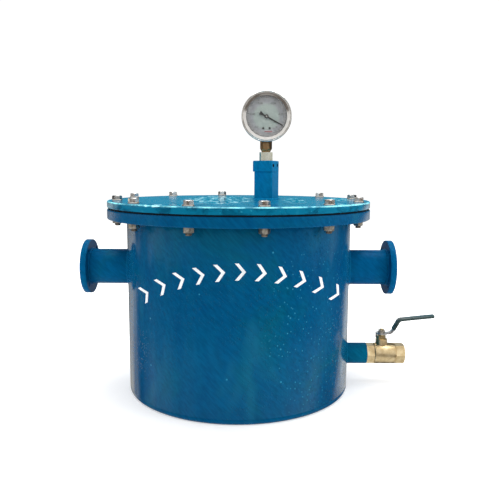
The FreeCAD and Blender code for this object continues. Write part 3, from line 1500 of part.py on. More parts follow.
def rim_point(radius, angle):
    """A point of the sector at a radius, with the angle counted clockwise from +Z."""
    return Vector(radius * math.sin(angle), 0, radius * math.cos(angle))


def flat_plate(points, front, width):
    """A plate with this outline in the dial plane."""
    outline = Part.makePolygon(points + points[:1])
    plate = Part.Face(outline).extrude(Vector(0, width, 0))
    plate.translate(Vector(0, front, 0))
    return plate


def make_sector_gear():
    teeth = int(number("size.sector_teeth"))
    cut = int(number("size.sector_cut"))
    width = number("size.gear_width")
    rim = number("size.tooth_module * size.sector_teeth / 2 - size.sector_rim")
    reach = math.pi * cut / teeth
    middle = cut // 2
    front = -number("place.gear_plane") - width / 2
    behind = [rim_point(rim, reach * share) for share in (1, 0.5, 0, -0.5, -1)]
    rim_plate = toothed_face(teeth, range(-middle, middle + 1), behind).extrude(Vector(0, width, 0))
    rim_plate.translate(Vector(0, front, 0))

    hub = number("size.sector_hub")
    taper = reach * number("size.sector_taper")
    arm_end = rim / math.cos(taper)
    arm = flat_plate([
        Vector(-hub, 0, 0), rim_point(arm_end, -taper), rim_point(arm_end, taper), Vector(hub, 0, 0),
    ], front, width)
    opening = reach * number("size.sector_window")
    border = rim - number("size.window_border")
    window = flat_plate([
        rim_point(number("size.window_start"), 0),
        rim_point(border, -opening),
        rim_point(border, opening),
    ], front, width)

    tail = number("size.tail_length")
    half = number("size.tail_half")
    arbor = number("size.arbor_radius")
    gap = number("size.pivot_gap")
    tail_bar = Part.makeBox(tail, width, 2 * half, Vector(-tail, front, -half))
    pin_hole = disc(arbor - gap, front, width, x=-tail)
    back_end = -number("size.head_front") - gap
    front_end = -number("place.dial_back") + gap
    pivot = disc(arbor, front_end, back_end - front_end)
    solid_parts = [arm, tail_bar, disc(hub, front, width), disc(half, front, width, x=-tail)]
    shape = rim_plate.fuse(solid_parts).cut([window, pin_hole]).fuse(pivot)
    shape.rotate(Vector(), GAUGE_AXIS, number("place.sector_rest"))
    add_shape("sector_gear", shape, "-place.gear_centres")


def make_gauge_link():
    """A strip from the sector's tail to the tip of the tube, with a rivet at the tail."""
    half = number("size.tail_half")
    gap = number("size.pivot_gap")
    pin = number("size.arbor_radius") - 2 * gap
    length = number("place.link_length")
    thickness = number("size.link_thickness")
    middle = -number("place.link_plane")
    front = middle - thickness / 2
    bar = Part.makeBox(length, thickness, half, Vector(0, front, -half / 2))
    ends = [disc(half, front, thickness, x=spot) for spot in (0, length)]
    rivet_end = number("size.gear_width") / 2 - number("place.gear_plane")
    rivet = disc(pin, middle, rivet_end - middle)
    eye = disc(pin, front, thickness, x=length)
    shape = bar.fuse(ends + [rivet]).cut(eye)
    tail_x, tail_z = number("place.tail_x"), number("place.tail_z")
    rise = number("place.tip_z") - tail_z
    run = number("place.tip_x") - tail_x
    shape.rotate(Vector(), GAUGE_AXIS, math.degrees(math.atan2(rise, run)))
    shape.translate(Vector(tail_x, 0, tail_z))
    add_shape("gauge_link", shape)


def flat_tube(across, deep, corner):
    """A flattened section with bevelled corners at the tube radius, in the plane of X and Y."""
    middle = "(size.head_back - size.head_front) / 2"
    left, right = f"place.tube_radius - {across} / 2", f"place.tube_radius + {across} / 2"
    low, high = f"{middle} - {deep} / 2", f"{middle} + {deep} / 2"
    return [
        (f"{left} + {corner}", low), (f"{right} - {corner}", low),
        (right, f"{low} + {corner}"), (right, f"{high} - {corner}"),
        (f"{right} - {corner}", high), (f"{left} + {corner}", high),
        (left, f"{high} - {corner}"), (left, f"{low} + {corner}"),
    ]


def make_bourdon_tube():
    tube = gauge_piece("bourdon_tube", turn="-size.tube_start")
    sketch = new_sketch(tube, "XY")
    draw_outline(sketch, flat_tube("size.tube_across", "size.tube_deep", "size.tube_corner"))
    hollow = ["(size.tube_across - 2 * size.tube_wall)", "(size.tube_deep - 2 * size.tube_wall)"]
    draw_outline(sketch, flat_tube(*hollow, "(size.tube_corner - size.tube_wall / 2)"))
    bend = tube.newObject("PartDesign::Revolution", "tube_bend")
    bend.Profile = sketch
    bend.ReferenceAxis = (sketch, ["V_Axis"])
    bend.Reversed = True
    bend.setExpression("Angle", "size.tube_sweep")

    tip = gauge_piece("tube_tip", turn="place.tube_turn")
    middle = "(size.head_back - size.head_front) / 2"
    half = "size.tube_across / 2"
    sketch = new_sketch(tip, "XY")
    draw_outline(sketch, rectangle(f"place.tube_radius - {half}", "size.gear_width - place.link_plane",
                                   f"place.tube_radius + {half}", f"{middle} + size.tube_deep / 2"))
    pad(tip, sketch, "size.tip_length")


PARTS = [
    make_bottom_plate, make_tank_shell, make_body_flange, make_lid_gasket, make_lid, make_lid_bolts,
    lambda: make_nozzle("inlet", "-1"), lambda: make_nozzle("outlet", "1"),
    make_baffle_plate, make_demister, make_drain, make_valve_body, make_valve_end_cap,
    make_ball_and_seats, make_stem_and_packing, make_lever, make_gauge_post, make_gauge_block,
    make_gauge_staple, make_gauge_adapter, make_gauge_socket, make_gauge_case, make_gauge_front,
    make_movement_frame, make_dial, make_pointer, make_pinion_arbor, make_sector_gear,
    make_gauge_link, make_bourdon_tube,
]
for make in PARTS:
    make()
doc.recompute()

# Check every object, then write one file for each sub-part

failed = [item.Name for item in doc.Objects if "Invalid" in item.State or "Error" in item.State]
if failed:
    raise RuntimeError("failed objects: " + ", ".join(failed))
kinds = ("PartDesign::Body", "Part::Feature")
subparts = [item for item in doc.Objects if item.TypeId in kinds]
for item in subparts:
    if item.Shape.isNull() or not item.Shape.isValid() or not item.Shape.Solids:
        raise RuntimeError("bad shape: " + item.Label)
os.makedirs("parts", exist_ok=True)
for item in subparts:
    item.Shape.exportStep(f"parts/{item.Label}.step")
    print(item.Label, len(item.Shape.Solids), round(item.Shape.Volume, 1))
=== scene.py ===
# Air water separator: a blue steel tank with a bolted lid, a vacuum gauge on a post and a brass drain valve
import bpy
import bmesh
import math
from mathutils import Matrix, Vector


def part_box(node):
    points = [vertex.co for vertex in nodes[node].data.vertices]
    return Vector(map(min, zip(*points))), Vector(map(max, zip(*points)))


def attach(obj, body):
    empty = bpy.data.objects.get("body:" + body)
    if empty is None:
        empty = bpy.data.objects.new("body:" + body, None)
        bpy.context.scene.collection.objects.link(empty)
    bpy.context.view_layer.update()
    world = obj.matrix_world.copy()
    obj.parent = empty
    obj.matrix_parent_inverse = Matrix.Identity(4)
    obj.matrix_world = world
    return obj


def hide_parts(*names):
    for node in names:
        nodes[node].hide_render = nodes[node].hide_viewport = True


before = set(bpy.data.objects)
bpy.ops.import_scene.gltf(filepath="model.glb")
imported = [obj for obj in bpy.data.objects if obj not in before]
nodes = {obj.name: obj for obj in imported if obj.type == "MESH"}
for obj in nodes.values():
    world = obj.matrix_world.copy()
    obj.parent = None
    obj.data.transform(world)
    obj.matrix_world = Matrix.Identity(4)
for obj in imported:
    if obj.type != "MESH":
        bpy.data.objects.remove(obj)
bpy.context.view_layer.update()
mm = 0.001  # modelling is in millimetres, the scene in metres
fullTurn = 2 * math.pi


# Where the frame puts things, in millimetres
def boxOf(name):
    low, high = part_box(name)
    return low / mm, high / mm


def centreOf(name):
    low, high = boxOf(name)
    return (low + high) / 2


tankLow, tankHigh = boxOf("tank_shell")
tankRadius = tankHigh.x
lidHigh = boxOf("lid")[1]
gaugeCentre = centreOf("gauge_case")
postTurn = -23.5  # degrees, how far the square post and its block are turned
print("frame loaded:", len(nodes), "nodes, tank radius", round(tankRadius), "mm")


# Small tools for node trees
def addNode(tree, kind, values=None, **settings):
    node = tree.nodes.new(kind)
    for name, value in settings.items():
        setattr(node, name, value)
    for name, value in (values or {}).items():
        node.inputs[name].default_value = value
    return node


def startMaterial(name, **values):
    material = bpy.data.materials.new(name)
    material.use_nodes = True
    tree = material.node_tree
    tree.nodes.clear()
    shader = addNode(tree, "ShaderNodeBsdfPrincipled", values)
    output = addNode(tree, "ShaderNodeOutputMaterial")
    tree.links.new(shader.outputs["BSDF"], output.inputs["Surface"])
    return material, tree, shader


def placeOf(tree, centre=(0, 0, 0), size=(1, 1, 1), turn=(0, 0, 0)):
    # Places seen from a centre, along turned axes, measured in lengths of size
    coords = addNode(tree, "ShaderNodeTexCoord")
    spin = [math.radians(angle) for angle in turn]
    values = {"Location": centre, "Scale": size, "Rotation": spin}
    mapping = addNode(tree, "ShaderNodeMapping", values, vector_type="TEXTURE")
    tree.links.new(coords.outputs["Object"], mapping.inputs["Vector"])
    return mapping.outputs["Vector"]


def noise(tree, place, scale, detail=4.0, rough=0.55, warp=0.0):
    values = {"Scale": scale, "Detail": detail, "Roughness": rough, "Distortion": warp}
    node = addNode(tree, "ShaderNodeTexNoise", values)
    tree.links.new(place, node.inputs["Vector"])
    return node.outputs["Fac"]


def ramp(tree, value, stops, ease="LINEAR"):
    node = addNode(tree, "ShaderNodeValToRGB")
    node.color_ramp.interpolation = ease
    marks = node.color_ramp.elements
    while len(marks) < len(stops):
        marks.new(0.5)
    for mark, (position, colour) in zip(marks, stops):
        mark.position = position
        mark.color = (*colour, 1) if hasattr(colour, "__len__") else (colour, colour, colour, 1)
    tree.links.new(value, node.inputs["Fac"])
    return node.outputs["Color"]


def mixColour(tree, amount, first, second, how="MIX"):
    node = addNode(tree, "ShaderNodeMix", data_type="RGBA", blend_type=how)
    for socket, value in ((node.inputs[0], amount), (node.inputs[6], first), (node.inputs[7], second)):
        if isinstance(value, bpy.types.NodeSocket):
            tree.links.new(value, socket)
        else:
            socket.default_value = (*value, 1) if hasattr(value, "__len__") else value
    return node.outputs[2]


def sums(tree, how, first, second):
    node = addNode(tree, "ShaderNodeMath", operation=how)
    for socket, value in zip(node.inputs, (first, second)):
        if isinstance(value, bpy.types.NodeSocket):
            tree.links.new(value, socket)
        else:
            socket.default_value = value
    return node.outputs[0]


def bump(tree, shader, heights):
    normal = None
    for height, strength, depth in heights:
        node = addNode(tree, "ShaderNodeBump", {"Strength": strength, "Distance": depth * mm})
        tree.links.new(height, node.inputs["Height"])
        if normal is not None:
            tree.links.new(normal, node.inputs["Normal"])
        normal = node.outputs["Normal"]
    tree.links.new(normal, shader.inputs["Normal"])


def lengthOf(tree, place):
    node = addNode(tree, "ShaderNodeVectorMath", operation="LENGTH")
    tree.links.new(place, node.inputs[0])
    return node.outputs["Value"]


def dots(tree, place, scale, radius, kept):
    # Round drops on a scattered lattice, and the share of its cells that holds one
    cells = addNode(tree, "ShaderNodeTexVoronoi", {"Scale": scale, "Randomness": 1.0})
    tree.links.new(place, cells.inputs["Vector"])
    domes = ramp(tree, cells.outputs["Distance"], [(0.0, 1.0), (0.6 * radius, 0.7), (radius, 0.0)], "EASE")
    split = addNode(tree, "ShaderNodeSeparateColor")
    tree.links.new(cells.outputs["Color"], split.inputs["Color"])
    chosen = ramp(tree, split.outputs["Red"], [(1 - kept, 0.0), (min(1.0, 1.02 - kept), 1.0)])
    return sums(tree, "MULTIPLY", domes, chosen)


# Finishes
enamel = {
    "deep": (0.0004, 0.055, 0.155),
    "middle": (0.0006, 0.066, 0.165),
    "green": (0.001, 0.078, 0.145),
    "bloom": (0.003, 0.11, 0.2),
    "smudge": (0.012, 0.12, 0.2),
    # the paler colour of water drops, a painted highlight on them
    "dropHighlight": (0.03, 0.27, 0.42),
    "sheen": (0.12, 0.55, 0.8),
    "beads": 210.0,  # fine water beads to the metre
    "drops": 60.0,  # places for larger drops to the metre
    "thickDrops": 125.0,  # the same where rain has hit, round a place given in millimetres
    "rainCentre": (150.0, -190.0, 170.0),
    "rainSize": (110.0, 150.0, 190.0),
    "strokes": 230.0,  # brush strokes to the metre, across them
    "strokeTurn": -45.0,
    "strokeLength": 7.0,
    "strokeShade": 0.4,
    "peel": 620.0,  # orange peel to the metre
}


def blueEnamel(name, level=0.12, gloss=0.24, beads=0.5, drops=0.4, smudges=0.5, lift=1.0, turn=0.0):
    # lift brightens the paint, a painted light for pieces that stand lighter than the tank, and turn moves
    # its blue towards green
    values = {"Specular IOR Level": level, "Specular Tint": (*enamel["sheen"], 1)}
    material, tree, shader = startMaterial(name, **values)
    place = placeOf(tree)
    cloud = noise(tree, place, 5.5, 5, 0.6, 0.6)
    deep, middle, green = [Vector(enamel[tone]) * lift for tone in ("deep", "middle", "green")]
    stops = [(0.3, deep.lerp(middle, turn)), (0.5, middle.lerp(green, turn / 2)), (0.7, green)]
    body = ramp(tree, cloud, stops, "EASE")
    runs = noise(tree, placeOf(tree, size=(1, 1, 5)), 26, 4, 0.6)
    body = mixColour(tree, ramp(tree, runs, [(0.45, 0.0), (0.8, 0.3)]), body, enamel["bloom"])
    hand = placeOf(tree, size=(1, 1, enamel["strokeLength"]), turn=(0, enamel["strokeTurn"], 0))
    brushed = noise(tree, hand, enamel["strokes"], 3, 0.55)
    shade = ramp(tree, brushed, [(0.35, 0.62), (0.65, 1.25)])
    body = mixColour(tree, enamel["strokeShade"], body, shade, "MULTIPLY")
    rubbed = noise(tree, placeOf(tree, size=(1, 1, 2.2)), 15, 2, 0.5)
    body = mixColour(tree, ramp(tree, rubbed, [(0.58, 0.0), (0.76, smudges)]), body, enamel["smudge"])
    # Fine beads gather where a slow noise lets them, larger drops stand alone
    gather = ramp(tree, noise(tree, place, 7, 3, 0.6), [(0.44, 0.0), (0.62, 1.0)])
    fine = sums(tree, "MULTIPLY", dots(tree, place, enamel["beads"], 0.36, 0.55), gather)
    fine = sums(tree, "MULTIPLY", fine, beads)
    rainSize = Vector(enamel["rainSize"]) * mm
    rain = lengthOf(tree, placeOf(tree, Vector(enamel["rainCentre"]) * mm, rainSize))
    rain = sums(tree, "ADD", rain, sums(tree, "SUBTRACT", noise(tree, place, 16, 3, 0.6), 0.5))
    thick = dots(tree, place, enamel["thickDrops"], 0.22, 0.6)
    thick = sums(tree, "MULTIPLY", thick, ramp(tree, rain, [(0.6, 1.0), (1.05, 0.0)]))
    large = sums(tree, "MAXIMUM", dots(tree, place, enamel["drops"], 0.14, 0.12), thick)
    large = sums(tree, "MULTIPLY", large, drops)
    # Beads and larger drops are painted paler than the paint: a painted highlight on the water
    body = mixColour(tree, sums(tree, "MULTIPLY", fine, 0.3), body, enamel["bloom"])
    body = mixColour(tree, large, body, enamel["dropHighlight"])
    tree.links.new(body, shader.inputs["Base Color"])
    film = noise(tree, place, 16, 5, 0.6, 0.4)
    rough = ramp(tree, film, [(0.35, gloss - 0.03), (0.62, gloss + 0.05)])
    tree.links.new(rough, shader.inputs["Roughness"])
    peel = noise(tree, place, enamel["peel"], 2, 0.5)
    swell = noise(tree, place, 34, 3, 0.5)
    heights = [(swell, 0.3, 0.4), (peel, 0.2, 0.1), (brushed, 0.15 * enamel["strokeShade"], 0.2)]
    bump(tree, shader, heights + [(fine, 1.0, 1.4), (large, 0.8, 0.9)])
    return material


wetLid = {
    "dry": (0.002, 0.135, 0.24),
    "pale": (0.01, 0.2, 0.3),
    "dark": (0.0006, 0.07, 0.135),
    # cyan and white paint the glints in the puddles
    "cyan": (0.04, 0.4, 0.54),
    "white": (0.55, 0.9, 0.96),
    # edge is a painted highlight along the upper rim
    "edge": (0.3, 0.85, 0.95),
    "edgeWidth": 2.4,  # millimetres
    "dryRoughness": 0.17,
    "wetRoughness": 0.07,
    "runs": (1, 3.4, 1),  # flecks are drawn out front to back, and turned a few degrees
    "runTurn": 8,
    "waves": 36.0,  # ripples to the metre in the puddles
    "waveHeight": 1.5,
    "puddles": (  # middle and half size on the lid, millimetres
        ((-46, 20), (80, 205)),
        ((118, -20), (24, 120)),
        ((190, -172), (28, 34)),
        ((-140, -222), (60, 24)),
        ((222, 30), (22, 90)),
    ),
}


def paintedRimHighlight(tree, place, radius, top, width):
    # Painted highlight: the outermost edge of a plate's upper face, and the top of its rim
    reach = lengthOf(tree, placeOf(tree, size=(radius * mm, radius * mm, 1e6)))
    outer = sums(tree, "GREATER_THAN", reach, 1 - width / radius)
    up = addNode(tree, "ShaderNodeSeparateXYZ")
    tree.links.new(place, up.inputs["Vector"])
    high = sums(tree, "GREATER_THAN", up.outputs["Z"], (top - width) * mm)
    # Noise breaks the painted highlight into patches
    patchy = ramp(tree, noise(tree, place, 34, 4, 0.6), [(0.38, 0.1), (0.6, 1.0)])
    return sums(tree, "MULTIPLY", sums(tree, "MULTIPLY", outer, high), patchy)


def wetEnamel(name):
    # Brushed cyan-blue with standing water: smooth rippled puddles with painted glints, and dull paint
    # between them
    values = {"Specular IOR Level": 0.3, "Specular Tint": (*enamel["sheen"], 1)}
    material, tree, shader = startMaterial(name, **values)
    place = placeOf(tree)
    long = placeOf(tree, size=wetLid["runs"], turn=(0, 0, wetLid["runTurn"]))
    cloud = noise(tree, long, 26, 6, 0.65, 1.2)
    stops = [(0.38, wetLid["dark"]), (0.5, wetLid["dry"]), (0.6, wetLid["dry"]), (0.72, wetLid["pale"])]
    body = ramp(tree, cloud, stops)
    wander = sums(tree, "SUBTRACT", noise(tree, place, 22, 4, 0.6), 0.5)
    wet = None
    for (x, y), (halfX, halfY) in wetLid["puddles"]:
        spot = placeOf(tree, (x * mm, y * mm, lidHigh.z * mm), (halfX * mm, halfY * mm, 4 * mm))
        reach = sums(tree, "ADD", lengthOf(tree, spot), wander)
        inside = ramp(tree, reach, [(0.0, 1.0), (0.85, 1.0), (1.0, 0.0)])
        wet = inside if wet is None else sums(tree, "MAXIMUM", wet, inside)
    # Painted glints: flecks of reflected light painted into the water, cyan at their edges and white inside
    flecks = noise(tree, long, 74, 5, 0.62, 0.6)
    stops = [(0.42, wetLid["dark"]), (0.47, wetLid["dry"]), (0.52, wetLid["cyan"]), (0.59, wetLid["white"])]
    paintedGlints = ramp(tree, flecks, stops)
    shown = ramp(tree, flecks, [(0.4, 0.5), (0.43, 0.0), (0.47, 0.0), (0.53, 0.95)])
    body = mixColour(tree, sums(tree, "MULTIPLY", wet, shown), body, paintedGlints)
    stray = ramp(tree, noise(tree, long, 120, 3, 0.6), [(0.68, 0.0), (0.76, 0.6)])
    body = mixColour(tree, stray, body, wetLid["cyan"])
    # Painted highlight: pale cyan along the upper rim, where the bevel catches the light
    glow = paintedRimHighlight(tree, place, lidHigh.x, lidHigh.z, wetLid["edgeWidth"])
    body = mixColour(tree, glow, body, wetLid["edge"])
    tree.links.new(body, shader.inputs["Base Color"])
    rough = mixColour(tree, wet, (wetLid["dryRoughness"],) * 3, (wetLid["wetRoughness"],) * 3)
    tree.links.new(rough, shader.inputs["Roughness"])
    swell = noise(tree, place, 10, 3, 0.5)
    waves = sums(tree, "MULTIPLY", noise(tree, place, wetLid["waves"], 4, 0.55, 0.8), wet)
    drops = dots(tree, place, 130, 0.34, 0.4)
    grain = noise(tree, place, 400, 3, 0.6)
    heights = [(swell, 0.6, 3.0), (waves, 1.0, wetLid["waveHeight"]), (grain, 0.3, 0.2), (drops, 0.8, 1.2)]
    bump(tree, shader, heights)
    return material


def plainMetal(name, dark, light, scale, rough, size=(1, 1, 1), grime=None, dents=0.1, pits=0.0):
    material, tree, shader = startMaterial(name, Metallic=1.0)
    place = placeOf(tree, size=size)
    tone = noise(tree, place, scale, 6, 0.6)
    colour = ramp(tree, tone, [(0.3, dark), (0.7, light)])
    if grime:
        stain = noise(tree, placeOf(tree), scale * 0.35, 5, 0.65, 0.5)
        colour = mixColour(tree, ramp(tree, stain, [(0.5, 0.0), (0.68, 0.85)]), colour, grime)
    tree.links.new(colour, shader.inputs["Base Color"])
    tree.links.new(ramp(tree, tone, [(0.25, rough[0]), (0.75, rough[1])]), shader.inputs["Roughness"])
    grain = noise(tree, place, scale * 4, 3, 0.6)
    heights = [(grain, dents, 0.15)]
    if pits:
        heights.append((noise(tree, placeOf(tree), 520, 3, 0.6), pits, 0.35))
    bump(tree, shader, heights)
    return material


def softPlastic(name, dark, light, rough, grain=900.0, depth=0.05, level=0.5):
    material, tree, shader = startMaterial(name, **{"Specular IOR Level": level})
    place = placeOf(tree)
    tone = noise(tree, place, 60, 4, 0.6)
    tree.links.new(ramp(tree, tone, [(0.3, dark), (0.7, light)]), shader.inputs["Base Color"])
    tree.links.new(ramp(tree, tone, [(0.3, rough * 0.8), (0.7, rough * 1.2)]), shader.inputs["Roughness"])
    bump(tree, shader, [(noise(tree, place, grain, 2, 0.5), 0.35, depth)])
    return material


dialTone = {
    "middle": ((0.44, 0.5, 0.47), (0.5, 0.56, 0.53)),
    "outside": ((0.45, 0.43, 0.44), (0.53, 0.5, 0.51)),
    "halo": ((0.38, 0.37, 0.4), (0.46, 0.45, 0.48)),
}
dialReach = 48.0  # millimetres, the radius over which the tones change


def dialPaint(name):
    # Greenish in the middle, a grey-mauve halo, warmer outside
    material, tree, shader = startMaterial(name, Roughness=0.5)
    place = placeOf(tree)
    mottle = noise(tree, place, 130, 4, 0.6)
    tones = {key: ramp(tree, mottle, [(0.35, pair[0]), (0.65, pair[1])]) for key, pair in dialTone.items()}
    reach = lengthOf(tree, placeOf(tree, gaugeCentre * mm, (mm * dialReach, 1, mm * dialReach)))
    # The node adds half by itself, and that is taken off with half the wander
    wander = sums(tree, "MULTIPLY_ADD", noise(tree, place, 60, 3, 0.5), 0.12)
    reach = sums(tree, "ADD", reach, sums(tree, "SUBTRACT", wander, 0.56))
    nearHalo = ramp(tree, reach, [(0.5, 0.0), (0.68, 1.0)], "EASE")
    colour = mixColour(tree, nearHalo, tones["middle"], tones["halo"])
    pastHalo = ramp(tree, reach, [(0.74, 0.0), (0.86, 1.0)], "EASE")
    colour = mixColour(tree, pastHalo, colour, tones["outside"])
    tree.links.new(colour, shader.inputs["Base Color"])
    bump(tree, shader, [(noise(tree, place, 1400, 2, 0.5), 0.3, 0.02)])
    return material


def clearGlass(name):
    material, tree, shader = startMaterial(name, Roughness=0.02, IOR=1.45)
    shader.inputs["Transmission Weight"].default_value = 1.0
    haze = noise(tree, placeOf(tree), 60, 4, 0.6)
    smear = ramp(tree, haze, [(0.3, (0.93, 0.96, 0.95)), (0.7, (0.98, 0.99, 0.98))])
    tree.links.new(smear, shader.inputs["Base Color"])
    # Light passes straight through, so that the dial is lit
    path = addNode(tree, "ShaderNodeLightPath")
    through = addNode(tree, "ShaderNodeBsdfTransparent", {"Color": (0.93, 0.95, 0.94, 1)})
    mixed = addNode(tree, "ShaderNodeMixShader")
    tree.links.new(path.outputs["Is Shadow Ray"], mixed.inputs["Fac"])
    tree.links.new(shader.outputs["BSDF"], mixed.inputs[1])
    tree.links.new(through.outputs["BSDF"], mixed.inputs[2])
    output = next(n for n in tree.nodes if n.type == "OUTPUT_MATERIAL")
    tree.links.new(mixed.outputs["Shader"], output.inputs["Surface"])
    return material


tankEnamel = blueEnamel("tank_enamel", level=0.24, gloss=0.12, beads=1.0, drops=0.8)
flangeEnamel = blueEnamel("flange_enamel", level=0.1, beads=0.6, drops=0.3)
lidEnamel = wetEnamel("lid_enamel")
# Pipes, post and block are the tank's blue, made brighter with lift as painted light
pipeEnamel = blueEnamel("pipe_enamel", level=0.03, gloss=0.3, beads=0.2, drops=0.1, smudges=0.25, lift=1.3)
postEnamel, blockEnamel = [
    blueEnamel(name, level=0.03, gloss=0.3, beads=0.1, drops=0.2, smudges=0.6, lift=2.3, turn=0.9)
    for name in ("post_enamel", "block_enamel")
]
blackRubber = softPlastic("black_rubber", (0.001, 0.003, 0.006), (0.003, 0.007, 0.012), 0.75, level=0.1)
boltSteel = plainMetal("bolt_steel", (0.6, 0.58, 0.55), (0.93, 0.92, 0.9), 190, (0.14, 0.3),
                       grime=(0.34, 0.26, 0.19))
threadSteel = plainMetal("thread_steel", (0.12, 0.09, 0.07), (0.6, 0.54, 0.46), 230, (0.35, 0.55))
oldZinc = plainMetal("old_zinc", (0.36, 0.33, 0.28), (0.84, 0.8, 0.7), 210, (0.3, 0.5),
                     grime=(0.09, 0.07, 0.045))
cleanZinc = plainMetal("clean_zinc", (0.5, 0.48, 0.44), (0.8, 0.78, 0.74), 150, (0.25, 0.45),
                       grime=(0.34, 0.27, 0.17))
darkWire = plainMetal("dark_wire", (0.012, 0.014, 0.016), (0.05, 0.052, 0.055), 200, (0.4, 0.6))
yellowZinc = plainMetal("yellow_zinc", (0.66, 0.67, 0.54), (0.86, 0.87, 0.76), 70, (0.2, 0.32),
                        size=(0.6, 0.6, 3), grime=(0.5, 0.48, 0.3))
bareSteel = plainMetal("bare_steel", (0.4, 0.4, 0.4), (0.68, 0.68, 0.68), 90, (0.24, 0.4),
                       size=(5, 0.33, 0.33))
stainless = plainMetal("stainless", (0.45, 0.44, 0.42), (0.62, 0.61, 0.58), 130, (0.2, 0.36), size=(1, 1, 3))
polished = plainMetal("polished_ring", (0.7, 0.68, 0.65), (0.86, 0.85, 0.82), 80, (0.1, 0.18), dents=0.03)
castBrass = plainMetal("cast_brass", (0.62, 0.46, 0.23), (0.93, 0.78, 0.5), 110, (0.28, 0.44),
                       grime=(0.5, 0.36, 0.18), pits=0.6)
turnedBrass = plainMetal("turned_brass", (0.72, 0.54, 0.26), (0.9, 0.74, 0.42), 160, (0.18, 0.3))
brownBrass = plainMetal("brown_brass", (0.2, 0.115, 0.055), (0.56, 0.36, 0.18), 90, (0.3, 0.44),
                        grime=(0.09, 0.055, 0.035))
chromeBall = plainMetal("chrome_ball", (0.62, 0.62, 0.64), (0.8, 0.8, 0.82), 60, (0.06, 0.12))
knitWire = plainMetal("knit_wire", (0.18, 0.18, 0.17), (0.6, 0.6, 0.58), 700, (0.3, 0.5), dents=0.9)
screwSteel = plainMetal("screw_steel", (0.03, 0.03, 0.03), (0.09, 0.09, 0.088), 300, (0.35, 0.5))
whiteSeal = softPlastic("white_seal", (0.62, 0.62, 0.6), (0.8, 0.8, 0.78), 0.4)
dippedVinyl = softPlastic("dipped_vinyl", (0.012, 0.03, 0.03), (0.03, 0.06, 0.058), 0.3, 700, 0.08)
dialEnamel = dialPaint("dial_enamel")
dialInk = softPlastic("dial_ink", (0.07, 0.07, 0.075), (0.13, 0.125, 0.13), 0.6)
figureInk = softPlastic("figure_ink", (0.15, 0.16, 0.15), (0.22, 0.23, 0.21), 0.6)
redInk = softPlastic("red_ink", (0.42, 0.15, 0.16), (0.5, 0.2, 0.21), 0.6)
pointerBlack = softPlastic("pointer_black", (0.002, 0.003, 0.004), (0.006, 0.007, 0.008), 0.5, level=0.12)
markWhite = softPlastic("mark_white", (0.72, 0.76, 0.78), (0.9, 0.93, 0.94), 0.45, 500, 0.06)
gaugeGlass = clearGlass("gauge_glass")
print("finishes mixed:", len(bpy.data.materials))


# Painted shade: dark disks on the block's faces round the staple's legs, for the shade in its holes
staplePaintedShade = {
    "across": 12.0,  # each hole from the block's middle
    "radius": 3.9,
    "holeShade": (0.001, 0.002, 0.003),
}


def paintHoleShade(material):
    tree = material.node_tree
    shader = next(node for node in tree.nodes if node.type == "BSDF_PRINCIPLED")
    colour = shader.inputs["Base Color"].links[0].from_socket
    low, high = boxOf("gauge_block")
    stapleLow, stapleHigh = boxOf("gauge_staple")
    middle = Vector(((low.x + high.x) / 2, (low.y + high.y) / 2, (stapleLow.z + stapleHigh.z) / 2))
    spin = Matrix.Rotation(math.radians(postTurn), 3, "Z")
    for side in (-1, 1):
        centre = (middle + spin @ Vector((0, side * staplePaintedShade["across"], 0))) * mm
        around = lengthOf(tree, placeOf(tree, centre, (1e6, 1, 1), (0, 0, postTurn)))
        inside = sums(tree, "LESS_THAN", around, staplePaintedShade["radius"] * mm)
        # Painted shade in each hole
        colour = mixColour(tree, inside, colour, staplePaintedShade["holeShade"])
    tree.links.new(colour, shader.inputs["Base Color"])


paintHoleShade(blockEnamel)


# Carried-over pieces: a finish, and a worn bevel on the edges that were left sharp
def dress(names, material, bevel=0.6, steps=2):
    for name in names:
        piece = nodes[name]
        piece.data.materials.clear()
        piece.data.materials.append(material)
        if not bevel:
            continue
        weld = piece.modifiers.new("weld", "WELD")
        weld.merge_threshold = 0.01 * mm
        flat = piece.modifiers.new("flat", "DECIMATE")
        flat.decimate_type = "DISSOLVE"
        flat.angle_limit = math.radians(0.5)
        edges = piece.modifiers.new("edges", "BEVEL")
        edges.limit_method = "ANGLE"
        edges.angle_limit = math.radians(40)
        edges.width = bevel * mm
        edges.segments = steps
        edges.harden_normals = True


dress(["tank_shell", "bottom_plate"], tankEnamel, 1.0)
dress(["body_flange"], flangeEnamel, 1.4, 3)
dress(["lid"], lidEnamel, 1.6, 3)
dress(["inlet_pipe", "outlet_pipe", "drain_socket"], pipeEnamel, 0.5)
dress(["inlet_flange", "outlet_flange"], pipeEnamel, 1.0)
dress(["gauge_post"], postEnamel, 1.2)
dress(["gauge_block"], blockEnamel, 0.8)
dress(["lid_gasket", "adapter_seal", "window_gasket"], blackRubber, 0)
dress(["lid_bolts", "demister_tie_bolts", "demister_tie_nuts"], boltSteel, 0)
dress(["lid_washers", "lid_nuts"], oldZinc, 0)
dress(["gauge_staple"], darkWire, 0)
dress(["gauge_adapter"], yellowZinc, 0.5)
dress(["baffle_plate"], tankEnamel, 0.3)
dress(["demister_support", "demister_hold_down"], stainless, 0)
dress(["demister_pad"], knitWire, 0)
dress(["drain_nipple"], oldZinc, 0)
dress(["valve_body", "valve_end_cap"], castBrass, 0.6)
dress(["packing_nut", "pinion_arbor", "tube_tip"], turnedBrass, 0.2)
dress(["valve_stem"], turnedBrass, 0.3)
dress(["gauge_socket"], brownBrass, 0.5)
dress(["bourdon_tube", "sector_gear", "gauge_link"], turnedBrass, 0)
dress(["movement_back_plate", "movement_front_plate", "movement_pillars"], turnedBrass, 0)
dress(["valve_ball"], chromeBall, 0)
dress(["ball_seats", "stem_packing"], whiteSeal, 0)
dress(["valve_lever"], bareSteel, 0.4)
dress(["lever_nut"], oldZinc, 0.3)
dress(["lever_grip"], dippedVinyl, 0.6)
